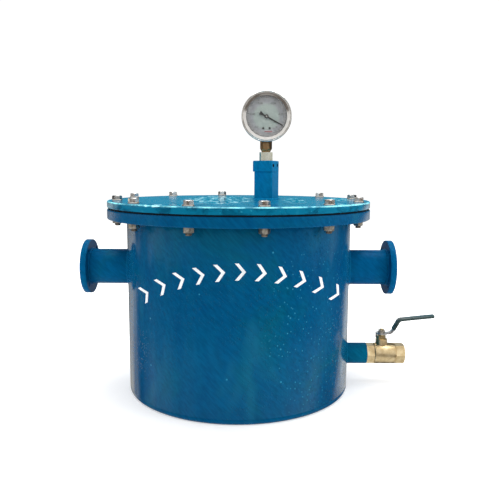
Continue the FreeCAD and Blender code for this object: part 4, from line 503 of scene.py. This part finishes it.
dress(["gauge_case"], stainless, 0.5)
dress(["gauge_bezel"], polished, 0)
dress(["relief_plug"], blackRubber, 0.5)
dress(["gauge_dial"], dialEnamel, 0)
dress(["dial_screws"], screwSteel, 0)
dress(["gauge_pointer"], pointerBlack, 0.1)
dress(["gauge_window"], gaugeGlass, 0)
print("frame pieces dressed")


# Mesh tools. Each piece is modelled in millimetres and brought to metres as it is added
def skin(bm, rings, loop=False, startCap=False, endCap=False, finish=0):
    rows = [[bm.verts.new(point) for point in ring] for ring in rings]
    pairs = list(zip(rows, rows[1:]))
    if loop:
        pairs.append((rows[-1], rows[0]))
    made = []
    for near, far in pairs:
        for i in range(len(near)):
            j = (i + 1) % len(near)
            made.append(bm.faces.new((near[i], near[j], far[j], far[i])))
    if startCap:
        made.append(bm.faces.new(list(reversed(rows[0]))))
    if endCap:
        made.append(bm.faces.new(rows[-1]))
    for face in made:
        face.material_index = finish


def lathe(bm, profile, move=None, sides=96, loop=True):
    # profile is (radius, height) pairs about the Z axis
    rings = []
    for radius, height in profile:
        ring = []
        for i in range(sides):
            angle = fullTurn * i / sides
            point = Vector((radius * math.cos(angle), radius * math.sin(angle), height))
            ring.append(move @ point if move else point)
        rings.append(ring)
    skin(bm, rings, loop=loop, startCap=not loop, endCap=not loop)


def addPiece(name, bm, finish, body="root", replaced=(), sharp=35):
    bmesh.ops.recalc_face_normals(bm, faces=bm.faces)
    bmesh.ops.scale(bm, vec=(mm, mm, mm), verts=bm.verts)
    mesh = bpy.data.meshes.new(name)
    bm.to_mesh(mesh)
    bm.free()
    mesh.shade_smooth()
    mesh.set_sharp_from_angle(angle=math.radians(sharp))
    for material in finish if isinstance(finish, tuple) else (finish,):
        mesh.materials.append(material)
    piece = bpy.data.objects.new(name, mesh)
    bpy.context.scene.collection.objects.link(piece)
    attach(piece, body)
    if replaced:
        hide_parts(*replaced)
    return piece


# Lid bolts, washers and nuts
lidBolts = {
    "count": 12,
    "circle": 258.5,
    "firstAngle": -19.0,  # degrees from the front towards the outlet
    "flats": 18.0,
    "headHollow": 0.55,
    "washerRadius": 11.0,
    "washerBore": 6.6,
    "shankRadius": 6.0,
    "pitch": 1.75,
    "threadDepth": 0.9,
    "sides": 72,
    "turns": (11, 37, 4, 52, 23, 45, 8, 31, 57, 16, 41, 28),  # how far each head was tightened, degrees
}


def hexSide(angle, flats):
    part = (angle + math.pi / 6) % (math.pi / 3) - math.pi / 6
    return flats / 2 / math.cos(part)


def ringAt(move, radiusAt, heightAt, sides):
    points = []
    for i in range(sides):
        angle = fullTurn * i / sides
        radius = radiusAt(angle)
        points.append(move @ Vector((radius * math.cos(angle), radius * math.sin(angle), heightAt(angle))))
    return points


def hexBlock(bm, move, flats, low, high, sides, lowCut=True, bore=0.0, hollow=0.0):
    # A forged hexagon: cones cut its corners back on top, and on a nut below as well
    cutRadius = 0.475 * flats
    slope = math.tan(math.radians(30))

    def corner(angle):
        return hexSide(angle, flats)

    def fall(angle):
        return max(0.0, corner(angle) - cutRadius) * slope

    def flatRadius(angle):
        return min(corner(angle), cutRadius)

    rings = []
    inner = bore if bore else 0.4 * cutRadius
    rings.append(ringAt(move, lambda a: inner, lambda a: low, sides))
    rings.append(ringAt(move, flatRadius, lambda a: low, sides))
    rings.append(ringAt(move, corner, lambda a: low + (fall(a) if lowCut else 0.3), sides))
    rings.append(ringAt(move, corner, lambda a: high - fall(a), sides))
    rings.append(ringAt(move, flatRadius, lambda a: high, sides))
    if bore:
        rings.append(ringAt(move, lambda a: bore + 0.8, lambda a: high, sides))
        rings.append(ringAt(move, lambda a: bore, lambda a: high - 0.8, sides))
        skin(bm, rings, loop=True)
    else:
        rings.append(ringAt(move, lambda a: 0.74 * cutRadius, lambda a: high - 0.15, sides))
        rings.append(ringAt(move, lambda a: 0.62 * cutRadius, lambda a: high - hollow, sides))
        skin(bm, rings, startCap=True, endCap=True)


def thread(bm, move, radius, depth, pitch, low, high, sides=36):
    # Rows climb with the helix, the first and last are pressed flat, and the point is chamfered
    waves = (0.0, 1.0, 1.0, 0.0)
    point = 0.8
    rows = int((high - low) / pitch * len(waves)) + 2 * len(waves)
    rings = []
    for row in range(rows):
        ring = []
        for i in range(sides):
            angle = fullTurn * i / sides
            height = low - pitch + pitch * (row / len(waves) + i / sides)
            near = radius - depth * (1 - waves[row % len(waves)])
            height = min(max(height, low), high)
            if height < low + point:
                near = min(near, radius - depth + (height - low))
            ring.append(move @ Vector((near * math.cos(angle), near * math.sin(angle), height)))
        rings.append(ring)
    skin(bm, rings, startCap=True, endCap=True, finish=1)


def boltPlaces():
    for i in range(lidBolts["count"]):
        around = math.radians(lidBolts["firstAngle"] + 360 / lidBolts["count"] * i)
        x = lidBolts["circle"] * math.sin(around)
        y = -lidBolts["circle"] * math.cos(around)
        yield Matrix.Translation((x, y, 0)) @ Matrix.Rotation(math.radians(lidBolts["turns"][i]), 4, "Z")


def buildLidBolts():
    heads, washers, nuts = bmesh.new(), bmesh.new(), bmesh.new()
    flats, sides = lidBolts["flats"], lidBolts["sides"]
    shankRadius = lidBolts["shankRadius"]
    boltLow, boltHigh = boxOf("lid_bolts")
    washerLow, washerHigh = boxOf("lid_washers")
    nutLow, nutHigh = boxOf("lid_nuts")
    rim, bore = lidBolts["washerRadius"], lidBolts["washerBore"]
    low, high = washerLow.z, washerHigh.z
    washer = [(bore, low), (rim - 0.3, low), (rim, low + 0.4), (rim, high - 0.9), (rim - 0.3, high - 0.35)]
    washer += [(rim - 1.0, high), (bore + 0.3, high), (bore, high - 0.3)]
    for move in boltPlaces():
        hexBlock(heads, move, flats, high, boltHigh.z, sides, lowCut=False, hollow=lidBolts["headHollow"])
        thread(heads, move, shankRadius, lidBolts["threadDepth"], lidBolts["pitch"], boltLow.z, nutHigh.z - 1)
        lathe(washers, washer, move, 48)
        hexBlock(nuts, move, flats, nutLow.z, nutHigh.z, sides, bore=shankRadius - 0.1)
    addPiece("lid_bolt_set", heads, (boltSteel, threadSteel), "root", ["lid_bolts"], 30)
    addPiece("lid_washer_set", washers, cleanZinc, "root", ["lid_washers"], 30)
    addPiece("lid_nut_set", nuts, oldZinc, "root", ["lid_nuts"], 30)


buildLidBolts()
print("lid bolts built")


# Weld beads: a rippled cord laid in each corner between two plates
welds = {
    "ripple": 2.6,
    "swell": 0.11,
    "curve": 0.5,
    "section": 10,
    "step": 0.65,  # along the bead
    "longStep": 0.9,  # along the bead under the body flange
    "saddle": 3.4,  # bead radii
    "pipeFlange": 2.8,
    "small": 2.6,  # at the drain, the post and the seam
    "underFlange": 2.4,
    "seamPoints": 540,
    "seamStart": 3,  # above the tank's lower edge
    "seamDepth": 0.6,  # how far the bead is sunk into the wall
    "postHalf": 21.5,
    "postCorner": 1.5,
}


def weldBead(bm, path, radius, axis, closed=True):
    # Ripples cross the cord in curves, as those of a weld pool do
    count = len(path)
    length = 0.0
    rings = []
    for i, point in enumerate(path):
        ahead = path[(i + 1) % count] if closed else path[min(i + 1, count - 1)]
        behind = path[i - 1] if closed else path[max(i - 1, 0)]
        along = (ahead - behind).normalized()
        side = (axis - axis.dot(along) * along).normalized()
        other = along.cross(side)
        ring = []
        for k in range(welds["section"]):
            angle = fullTurn * k / welds["section"]
            lag = welds["curve"] * radius * math.cos(2 * angle)
            wave = math.sin(math.pi * ((length + lag) / welds["ripple"] % 1))
            far = radius * (1 + welds["swell"] * (wave - 0.6))
            ring.append(point + side * far * math.cos(angle) + other * far * math.sin(angle))
        rings.append(ring)
        length += (ahead - point).length
    skin(bm, rings, loop=closed, startCap=not closed, endCap=not closed)


def circlePath(centre, first, second, radius, step=welds["step"]):
    count = round(fullTurn * radius / step)
    angles = [fullTurn * i / count for i in range(count)]
    return [centre + radius * (first * math.cos(angle) + second * math.sin(angle)) for angle in angles]


def saddlePath(side, height, pipeRadius):
    # Where a pipe along X runs into the tank wall
    path = []
    for point in circlePath(Vector((0, 0, height)), Vector((0, 1, 0)), Vector((0, 0, 1)), pipeRadius):
        path.append(Vector((side * math.sqrt(tankRadius ** 2 - point.y ** 2), point.y, point.z)))
    return path


def squarePath(centre, half, turn, rounding):
    path, step = [], welds["step"]
    for quarter in range(4):
        spin = Matrix.Rotation(math.radians(turn + 90 * quarter), 4, "Z")
        straight = half - rounding
        for i in range(int(2 * straight / step)):
            path.append(centre + spin @ Vector((half, -straight + i * step, 0)))
        for i in range(4):
            angle = math.pi / 2 * i / 4
            corner = Vector((math.cos(angle), math.sin(angle), 0)) * rounding
            path.append(centre + spin @ (Vector((straight, straight, 0)) + corner))
    return path


def layBead(name, path, radius, axis, finish, closed=True):
    bead = bmesh.new()
    weldBead(bead, path, radius, axis, closed)
    addPiece(name, bead, finish, "root", (), 60)


def buildWelds():
    acrossX, acrossY, upward = Vector((1, 0, 0)), Vector((0, 1, 0)), Vector((0, 0, 1))
    for name, side in (("inlet", -1), ("outlet", 1)):
        pipe, flange = centreOf(name + "_pipe"), boxOf(name + "_flange")
        pipeRadius = boxOf(name + "_pipe")[1].y
        path = saddlePath(side, pipe.z, pipeRadius)
        layBead(name + "_saddle_weld", path, welds["saddle"], acrossX, pipeEnamel)
        inner = flange[1].x if side < 0 else flange[0].x
        path = circlePath(Vector((inner, 0, pipe.z)), acrossY, upward, pipeRadius)
        layBead(name + "_flange_weld", path, welds["pipeFlange"], acrossX, pipeEnamel)
    drain = boxOf("drain_socket")
    path = saddlePath(1, (drain[0].z + drain[1].z) / 2, drain[1].y)
    layBead("drain_weld", path, welds["small"], acrossX, pipeEnamel)
    flangeUnder = Vector((0, 0, boxOf("body_flange")[0].z))
    path = circlePath(flangeUnder, acrossX, acrossY, tankRadius, welds["longStep"])
    layBead("flange_weld", path, welds["underFlange"], upward, flangeEnamel)
    post = centreOf("gauge_post")
    foot = Vector((post.x, post.y, lidHigh.z))
    path = squarePath(foot, welds["postHalf"], postTurn, welds["postCorner"])
    layBead("post_weld", path, welds["small"], upward, postEnamel)
    heights = [tankLow.z + welds["seamStart"] + welds["step"] * i for i in range(welds["seamPoints"])]
    seam = [Vector((0, tankRadius - welds["seamDepth"], z)) for z in heights]
    layBead("shell_seam_weld", seam, welds["small"], acrossY, tankEnamel, closed=False)


buildWelds()
print("weld beads laid")


# Flow marks on the tank's front, in an arc
flowMarks = {
    "count": 11,
    "from": -178.9,  # the first and last mark along X
    "to": 193.7,
    "arcRadius": 329.0,
    "arcTop": 288.0,
    "arcCentre": 7.5,
    "height": 31.0,
    "width": 13.0,
    "stroke": 7.0,
    "steps": 6,  # along each arm, to follow the wall
    "sunk": 0.2,
    "lift": 0.25,
}


def buildFlowMarks():
    bm = bmesh.new()
    half, point, stroke = flowMarks["height"] / 2, flowMarks["width"], flowMarks["stroke"]
    steps = flowMarks["steps"]
    for i in range(flowMarks["count"]):
        x = flowMarks["from"] + (flowMarks["to"] - flowMarks["from"]) * i / (flowMarks["count"] - 1)
        off = x - flowMarks["arcCentre"]
        z = flowMarks["arcTop"] - flowMarks["arcRadius"] + math.sqrt(flowMarks["arcRadius"] ** 2 - off ** 2)
        tilt = -math.asin(off / flowMarks["arcRadius"])
        for end in (-1, 1):
            strips = []
            for s in range(steps + 1):
                up = end * half * s / steps
                left = point / 2 - point * abs(s / steps) - stroke / 2
                strips.append([(left, up), (left + stroke, up)])
            rings = []
            for pair in strips:
                ring = []
                for radius in (tankRadius - flowMarks["sunk"], tankRadius + flowMarks["lift"]):
                    for across, up in (pair if radius < tankRadius else reversed(pair)):
                        flatX = x + across * math.cos(tilt) - up * math.sin(tilt)
                        height = z + across * math.sin(tilt) + up * math.cos(tilt)
                        around = math.asin(max(-0.99, min(0.99, flatX / tankRadius)))
                        ring.append(Vector((radius * math.sin(around), -radius * math.cos(around), height)))
                rings.append(ring)
            skin(bm, rings, startCap=True, endCap=True)
    addPiece("flow_marks", bm, markWhite, "root", (), 30)


buildFlowMarks()
print("flow marks painted")


# Gauge: ring, dial print, pointer hub
gauge = {
    "openRadius": 44.5,
    "lip": 1.95,
    "inkDepth": 0.1,
    "inkSunk": 0.03,
    "scaleRadius": 43.2,
    "scaleLine": 0.45,
    "sweep": 270.0,
    "divisions": 50,
    "longTick": (5.6, 0.75),
    "middleTick": (4.4, 0.5),
    "shortTick": (3.0, 0.35),
    "numberSize": 6.0,
    "numberWeight": 0.12,
    "numberRadius": 31.5,
    "numbers": ("0", "-0.02", "-0.04", "-0.06", "-0.08", "-0.1"),  # from lower right, going back
    "bar": (4.3, -32.0, 17.0, 2.6),  # middle, width and height of the plain red bar
    "hubRadius": 4.6,
    "hubDepth": 1.5,
    "buttonRadius": 2.6,
}
dialLow = boxOf("gauge_dial")[0]
ringLow, ringHigh = boxOf("gauge_bezel")


def onFace(depth):
    # From a drawing with X right, Y up and Z towards the viewer to the gauge, at a depth along Y
    place = Matrix.Translation((gaugeCentre.x, depth, gaugeCentre.z))
    return place @ Matrix.Rotation(math.radians(90), 4, "X")


def buildRing():
    # A rolled outer bead, a groove, and a broad cone down to the glass
    outer = (ringHigh.x - ringLow.x) / 2
    back = ringHigh.y - ringLow.y
    opening, lip = gauge["openRadius"], gauge["lip"]
    profile = [(outer - 2.45, back), (outer - 0.4, back), (outer, back - 0.5), (outer, 2.6)]
    bead = 1.4
    for i in range(7):
        angle = math.pi * i / 6
        profile.append((outer - bead + bead * math.cos(angle), bead - bead * math.sin(angle)))
    profile += [(outer - 2.9, 1.6), (outer - 3.3, 0.6), (outer - 3.9, 0.35)]
    profile += [(opening + 0.9, 1.6), (opening + 0.3, 1.78), (opening, 1.85), (opening, lip)]
    profile += [(outer - 2.95, lip), (outer - 2.95, 6.9), (outer - 2.45, 7.0)]
    bm = bmesh.new()
    lathe(bm, [(radius, -depth) for radius, depth in profile], onFace(ringLow.y), 144)
    addPiece("gauge_ring", bm, polished, "root", ["gauge_bezel"], 30)


def block(bm, middle, size, move, low, high):
    corners = [(-0.5, -0.5), (0.5, -0.5), (0.5, 0.5), (-0.5, 0.5)]
    flat = [(middle[0] + size[0] * x, middle[1] + size[1] * y) for x, y in corners]
    rings = [[move @ Vector((x, y, depth)) for x, y in flat] for depth in (low, high)]
    skin(bm, rings, startCap=True, endCap=True)


def buildDialPrint():
    ink = bmesh.new()
    face = onFace(dialLow.y)
    depth, sunk = gauge["inkDepth"], -gauge["inkSunk"]
    radius, sweep, divisions = gauge["scaleRadius"], gauge["sweep"], gauge["divisions"]
    for i in range(divisions + 1):
        angle = math.radians(-sweep / 2 + sweep * i / divisions)
        kind = "longTick" if i % 10 == 0 else "middleTick" if i % 5 == 0 else "shortTick"
        length, width = gauge[kind]
        turned = face @ Matrix.Rotation(-angle, 4, "Z")
        block(ink, (0, radius - length / 2), (width, length), turned, sunk, depth)
    steps = 90
    outside = radius + gauge["scaleLine"]
    rings = []
    for i in range(steps + 1):
        angle = math.radians(-sweep / 2 + sweep * i / steps)
        ring = []
        for far, high in ((radius, sunk), (outside, sunk), (outside, depth), (radius, depth)):
            ring.append(face @ Vector((far * math.sin(angle), far * math.cos(angle), high)))
        rings.append(ring)
    skin(ink, rings, startCap=True, endCap=True)
    addPiece("dial_scale", ink, dialInk, "root", (), 30)
    bar = bmesh.new()
    x, y, width, height = gauge["bar"]
    block(bar, (x, y), (width, height), face, sunk, depth)
    addPiece("dial_bar", bar, redInk, "root", (), 30)


def buildNumbers():
    # Plain figures at the long ticks, standing upright
    joined = bmesh.new()
    spread = gauge["sweep"] / (len(gauge["numbers"]) - 1)
    for i, word in enumerate(gauge["numbers"]):
        angle = math.radians(gauge["sweep"] / 2 - spread * i)
        drawing = bpy.data.curves.new("figure", "FONT")
        drawing.body = word
        drawing.size = gauge["numberSize"]
        drawing.align_x = "CENTER"
        drawing.align_y = "CENTER"
        drawing.extrude = gauge["inkDepth"] / 2
        drawing.offset = gauge["numberWeight"]
        shown = bpy.data.objects.new("figure", drawing)
        bpy.context.scene.collection.objects.link(shown)
        bpy.context.view_layer.update()
        mesh = bpy.data.meshes.new_from_object(shown.evaluated_get(bpy.context.evaluated_depsgraph_get()))
        reach = gauge["numberRadius"]
        spot = (reach * math.sin(angle), reach * math.cos(angle), gauge["inkSunk"])
        mesh.transform(onFace(dialLow.y) @ Matrix.Translation(spot))
        joined.from_mesh(mesh)
        bpy.data.meshes.remove(mesh)
        bpy.data.objects.remove(shown)
        bpy.data.curves.remove(drawing)
    addPiece("dial_numbers", joined, figureInk, "root", (), 30)


def buildPointer():
    # The hub: a black collar round a bright button
    pointerLow = boxOf("gauge_pointer")[0]
    radius, depth, inner = gauge["hubRadius"], gauge["hubDepth"], gauge["buttonRadius"]
    move = onFace(pointerLow.y + depth - 0.1)
    collar = bmesh.new()
    profile = [(inner, 0.1), (radius, 0.1), (radius, depth - 0.4), (radius - 0.4, depth)]
    lathe(collar, profile + [(inner + 0.4, depth), (inner, depth - 0.3)], move, 48)
    addPiece("pointer_collar", collar, pointerBlack, "gauge_pointer", (), 30)
    button = bmesh.new()
    profile = [(inner, 0.2), (inner, depth - 0.5), (inner - 0.4, depth - 0.15)]
    lathe(button, profile + [(1.2, depth), (0.3, depth + 0.04)], move, 40, loop=False)
    addPiece("pointer_button", button, stainless, "gauge_pointer", (), 50)


buildRing()
buildDialPrint()
buildNumbers()
buildPointer()
print("gauge built")


# Stage, light and camera
stage = {
    "floorHalf": 3.2,
    "floorFront": -0.75,
    "floorBack": 4.0,
    "floorLevel": -0.0005,
    "glow": [(0.3, 0.3), (0.8, 0.62)],  # distance from the tank's axis, and how much the floor glows there
}
camera = {
    "place": (0.0242, -1.244, 0.4624),
    "pitch": 7.427,
    "roll": 0.268,
    "focal": 570.4,  # in the picture's own pixels
    "pictureWidth": 500,
    "sensor": 36.0,
}


def buildStage():
    bm = bmesh.new()
    corners = [(-1, "floorFront"), (1, "floorFront"), (1, "floorBack"), (-1, "floorBack")]
    half, level = stage["floorHalf"], stage["floorLevel"]
    bm.faces.new([bm.verts.new((side * half, stage[edge], level)) for side, edge in corners])
    mesh = bpy.data.meshes.new("floor")
    bm.to_mesh(mesh)
    bm.free()
    floor = bpy.data.objects.new("floor", mesh)
    bpy.context.scene.collection.objects.link(floor)
    material, tree, shader = startMaterial("pale_floor", Roughness=0.9)
    tone = ramp(tree, noise(tree, placeOf(tree), 3, 3, 0.5), [(0.3, 0.86), (0.7, 0.9)])
    tree.links.new(tone, shader.inputs["Base Color"])
    shader.inputs["Specular IOR Level"].default_value = 0.0
    shader.inputs["Emission Color"].default_value = (1, 1, 1, 1)
    glow = ramp(tree, lengthOf(tree, placeOf(tree)), stage["glow"])
    tree.links.new(glow, shader.inputs["Emission Strength"])
    mesh.materials.append(material)
    floor.visible_glossy = False


room = {  # what gloss sees, by its direction
    "front": (0.85, 0.84, 0.83),
    "sides": (0.9, 0.89, 0.87),
    "screens": (0.04, 0.045, 0.05),  # dark, between the sides and the back wall
    "back": (1.0, 1.0, 1.0),
    "backFrom": 0.87,
    "ceiling": 1.3,
    "near": (0.8, 0.79, 0.76),  # the ground close by, and farther off
    "farther": (0.15, 0.13, 0.115),
    # The ground behind: how far round it starts, its colour there and in the middle
    "stripLeft": (0.5, (1.1, 1.0, 0.8), (0.24, 0.23, 0.2)),
    "stripRight": (0.62, (1.1, 1.08, 1.0), (0.5, 0.49, 0.45)),
    "skirting": (0.02, 0.26, 0.4),  # low on the back wall, for the lid
    "skirtingTop": 0.2,
    "soft": 0.85,  # what lights the paint
    "backdrop": 1.05,
}


def buildWorld():
    world = bpy.data.worlds.new("studio")
    bpy.context.scene.world = world
    world.use_nodes = True
    tree = world.node_tree
    tree.nodes.clear()
    coords = addNode(tree, "ShaderNodeTexCoord")
    split = addNode(tree, "ShaderNodeSeparateXYZ")
    tree.links.new(coords.outputs["Generated"], split.inputs["Vector"])
    side, depth, height = [sums(tree, "MULTIPLY_ADD", split.outputs[axis], 0.5) for axis in "XYZ"]
    edge = (1 + room["backFrom"]) / 2
    stops = [(0.2, room["front"]), (0.45, room["sides"]), (0.6, room["sides"]), (0.68, room["screens"])]
    walls = ramp(tree, depth, stops + [(edge, room["screens"]), (edge + 0.01, room["back"])])
    low = (1 + room["skirtingTop"]) / 2
    isLow = ramp(tree, height, [(low, 1.0), (low + 0.015, 0.0)])
    atBack = ramp(tree, depth, [(edge, 0.0), (edge + 0.01, 1.0)])
    walls = mixColour(tree, sums(tree, "MULTIPLY", atBack, isLow), walls, room["skirting"])
    upper = mixColour(tree, 1.0, walls, ramp(tree, height, [(0.65, 1.0), (0.9, room["ceiling"])]), "MULTIPLY")
    lower = ramp(tree, height, [(0.25, room["near"]), (0.34, room["farther"])])
    strips = []
    for start, first, last in (room["stripLeft"], room["stripRight"]):
        start = (1 + start) / 2
        strips.append(ramp(tree, depth, [(start, room["screens"]), (start + 0.1, first), (0.97, last)]))
    strip = mixColour(tree, ramp(tree, side, [(0.48, 0.0), (0.52, 1.0)]), *strips)
    lower = mixColour(tree, ramp(tree, depth, [(0.55, 0.0), (0.66, 1.0)]), lower, strip)
    seen = mixColour(tree, sums(tree, "GREATER_THAN", height, 0.5), lower, upper)
    path = addNode(tree, "ShaderNodeLightPath")
    gloss = addNode(tree, "ShaderNodeBackground", {"Strength": 1.0})
    tree.links.new(seen, gloss.inputs["Color"])
    soft = addNode(tree, "ShaderNodeBackground", {"Color": (1, 1, 1, 1), "Strength": room["soft"]})
    white = addNode(tree, "ShaderNodeBackground", {"Color": (1, 1, 1, 1), "Strength": room["backdrop"]})
    first, second = addNode(tree, "ShaderNodeMixShader"), addNode(tree, "ShaderNodeMixShader")
    output = addNode(tree, "ShaderNodeOutputWorld")
    tree.links.new(path.outputs["Is Glossy Ray"], first.inputs["Fac"])
    tree.links.new(soft.outputs["Background"], first.inputs[1])
    tree.links.new(gloss.outputs["Background"], first.inputs[2])
    tree.links.new(path.outputs["Is Camera Ray"], second.inputs["Fac"])
    tree.links.new(first.outputs["Shader"], second.inputs[1])
    tree.links.new(white.outputs["Background"], second.inputs[2])
    tree.links.new(second.outputs["Shader"], output.inputs["Surface"])


softBoxes = {  # place, aim, width, height in metres, watts, shown in reflections
    "overhead": ((0.1, 0.25, 1.9), (0, 0, 0.35), 1.8, 1.4, 36, True),
    "left": ((-1.7, -1.1, 1.0), (0, 0, 0.3), 0.9, 1.3, 6, False),
    "right": ((1.7, -0.9, 0.9), (0, 0, 0.3), 0.8, 1.3, 11, False),
}


def buildLights():
    for name, (place, aim, width, height, watts, shown) in softBoxes.items():
        data = bpy.data.lights.new(name, "AREA")
        data.shape = "RECTANGLE"
        data.size, data.size_y = width, height
        data.energy = watts
        light = bpy.data.objects.new(name, data)
        light.visible_glossy = shown
        light.location = place
        light.rotation_euler = (Vector(aim) - Vector(place)).to_track_quat("-Z", "Y").to_euler()
        bpy.context.scene.collection.objects.link(light)


def buildCamera():
    data = bpy.data.cameras.new("camera")
    data.sensor_width = camera["sensor"]
    data.lens = camera["focal"] / camera["pictureWidth"] * camera["sensor"]
    eye = bpy.data.objects.new("camera", data)
    turn = Matrix.Rotation(math.radians(90 - camera["pitch"]), 4, "X")
    turn = turn @ Matrix.Rotation(math.radians(camera["roll"]), 4, "Z")
    eye.matrix_world = Matrix.Translation(camera["place"]) @ turn
    bpy.context.scene.collection.objects.link(eye)
    bpy.context.scene.camera = eye


buildStage()
buildWorld()
buildLights()
buildCamera()
bpy.context.scene.view_settings.view_transform = "Standard"
print("stage set")
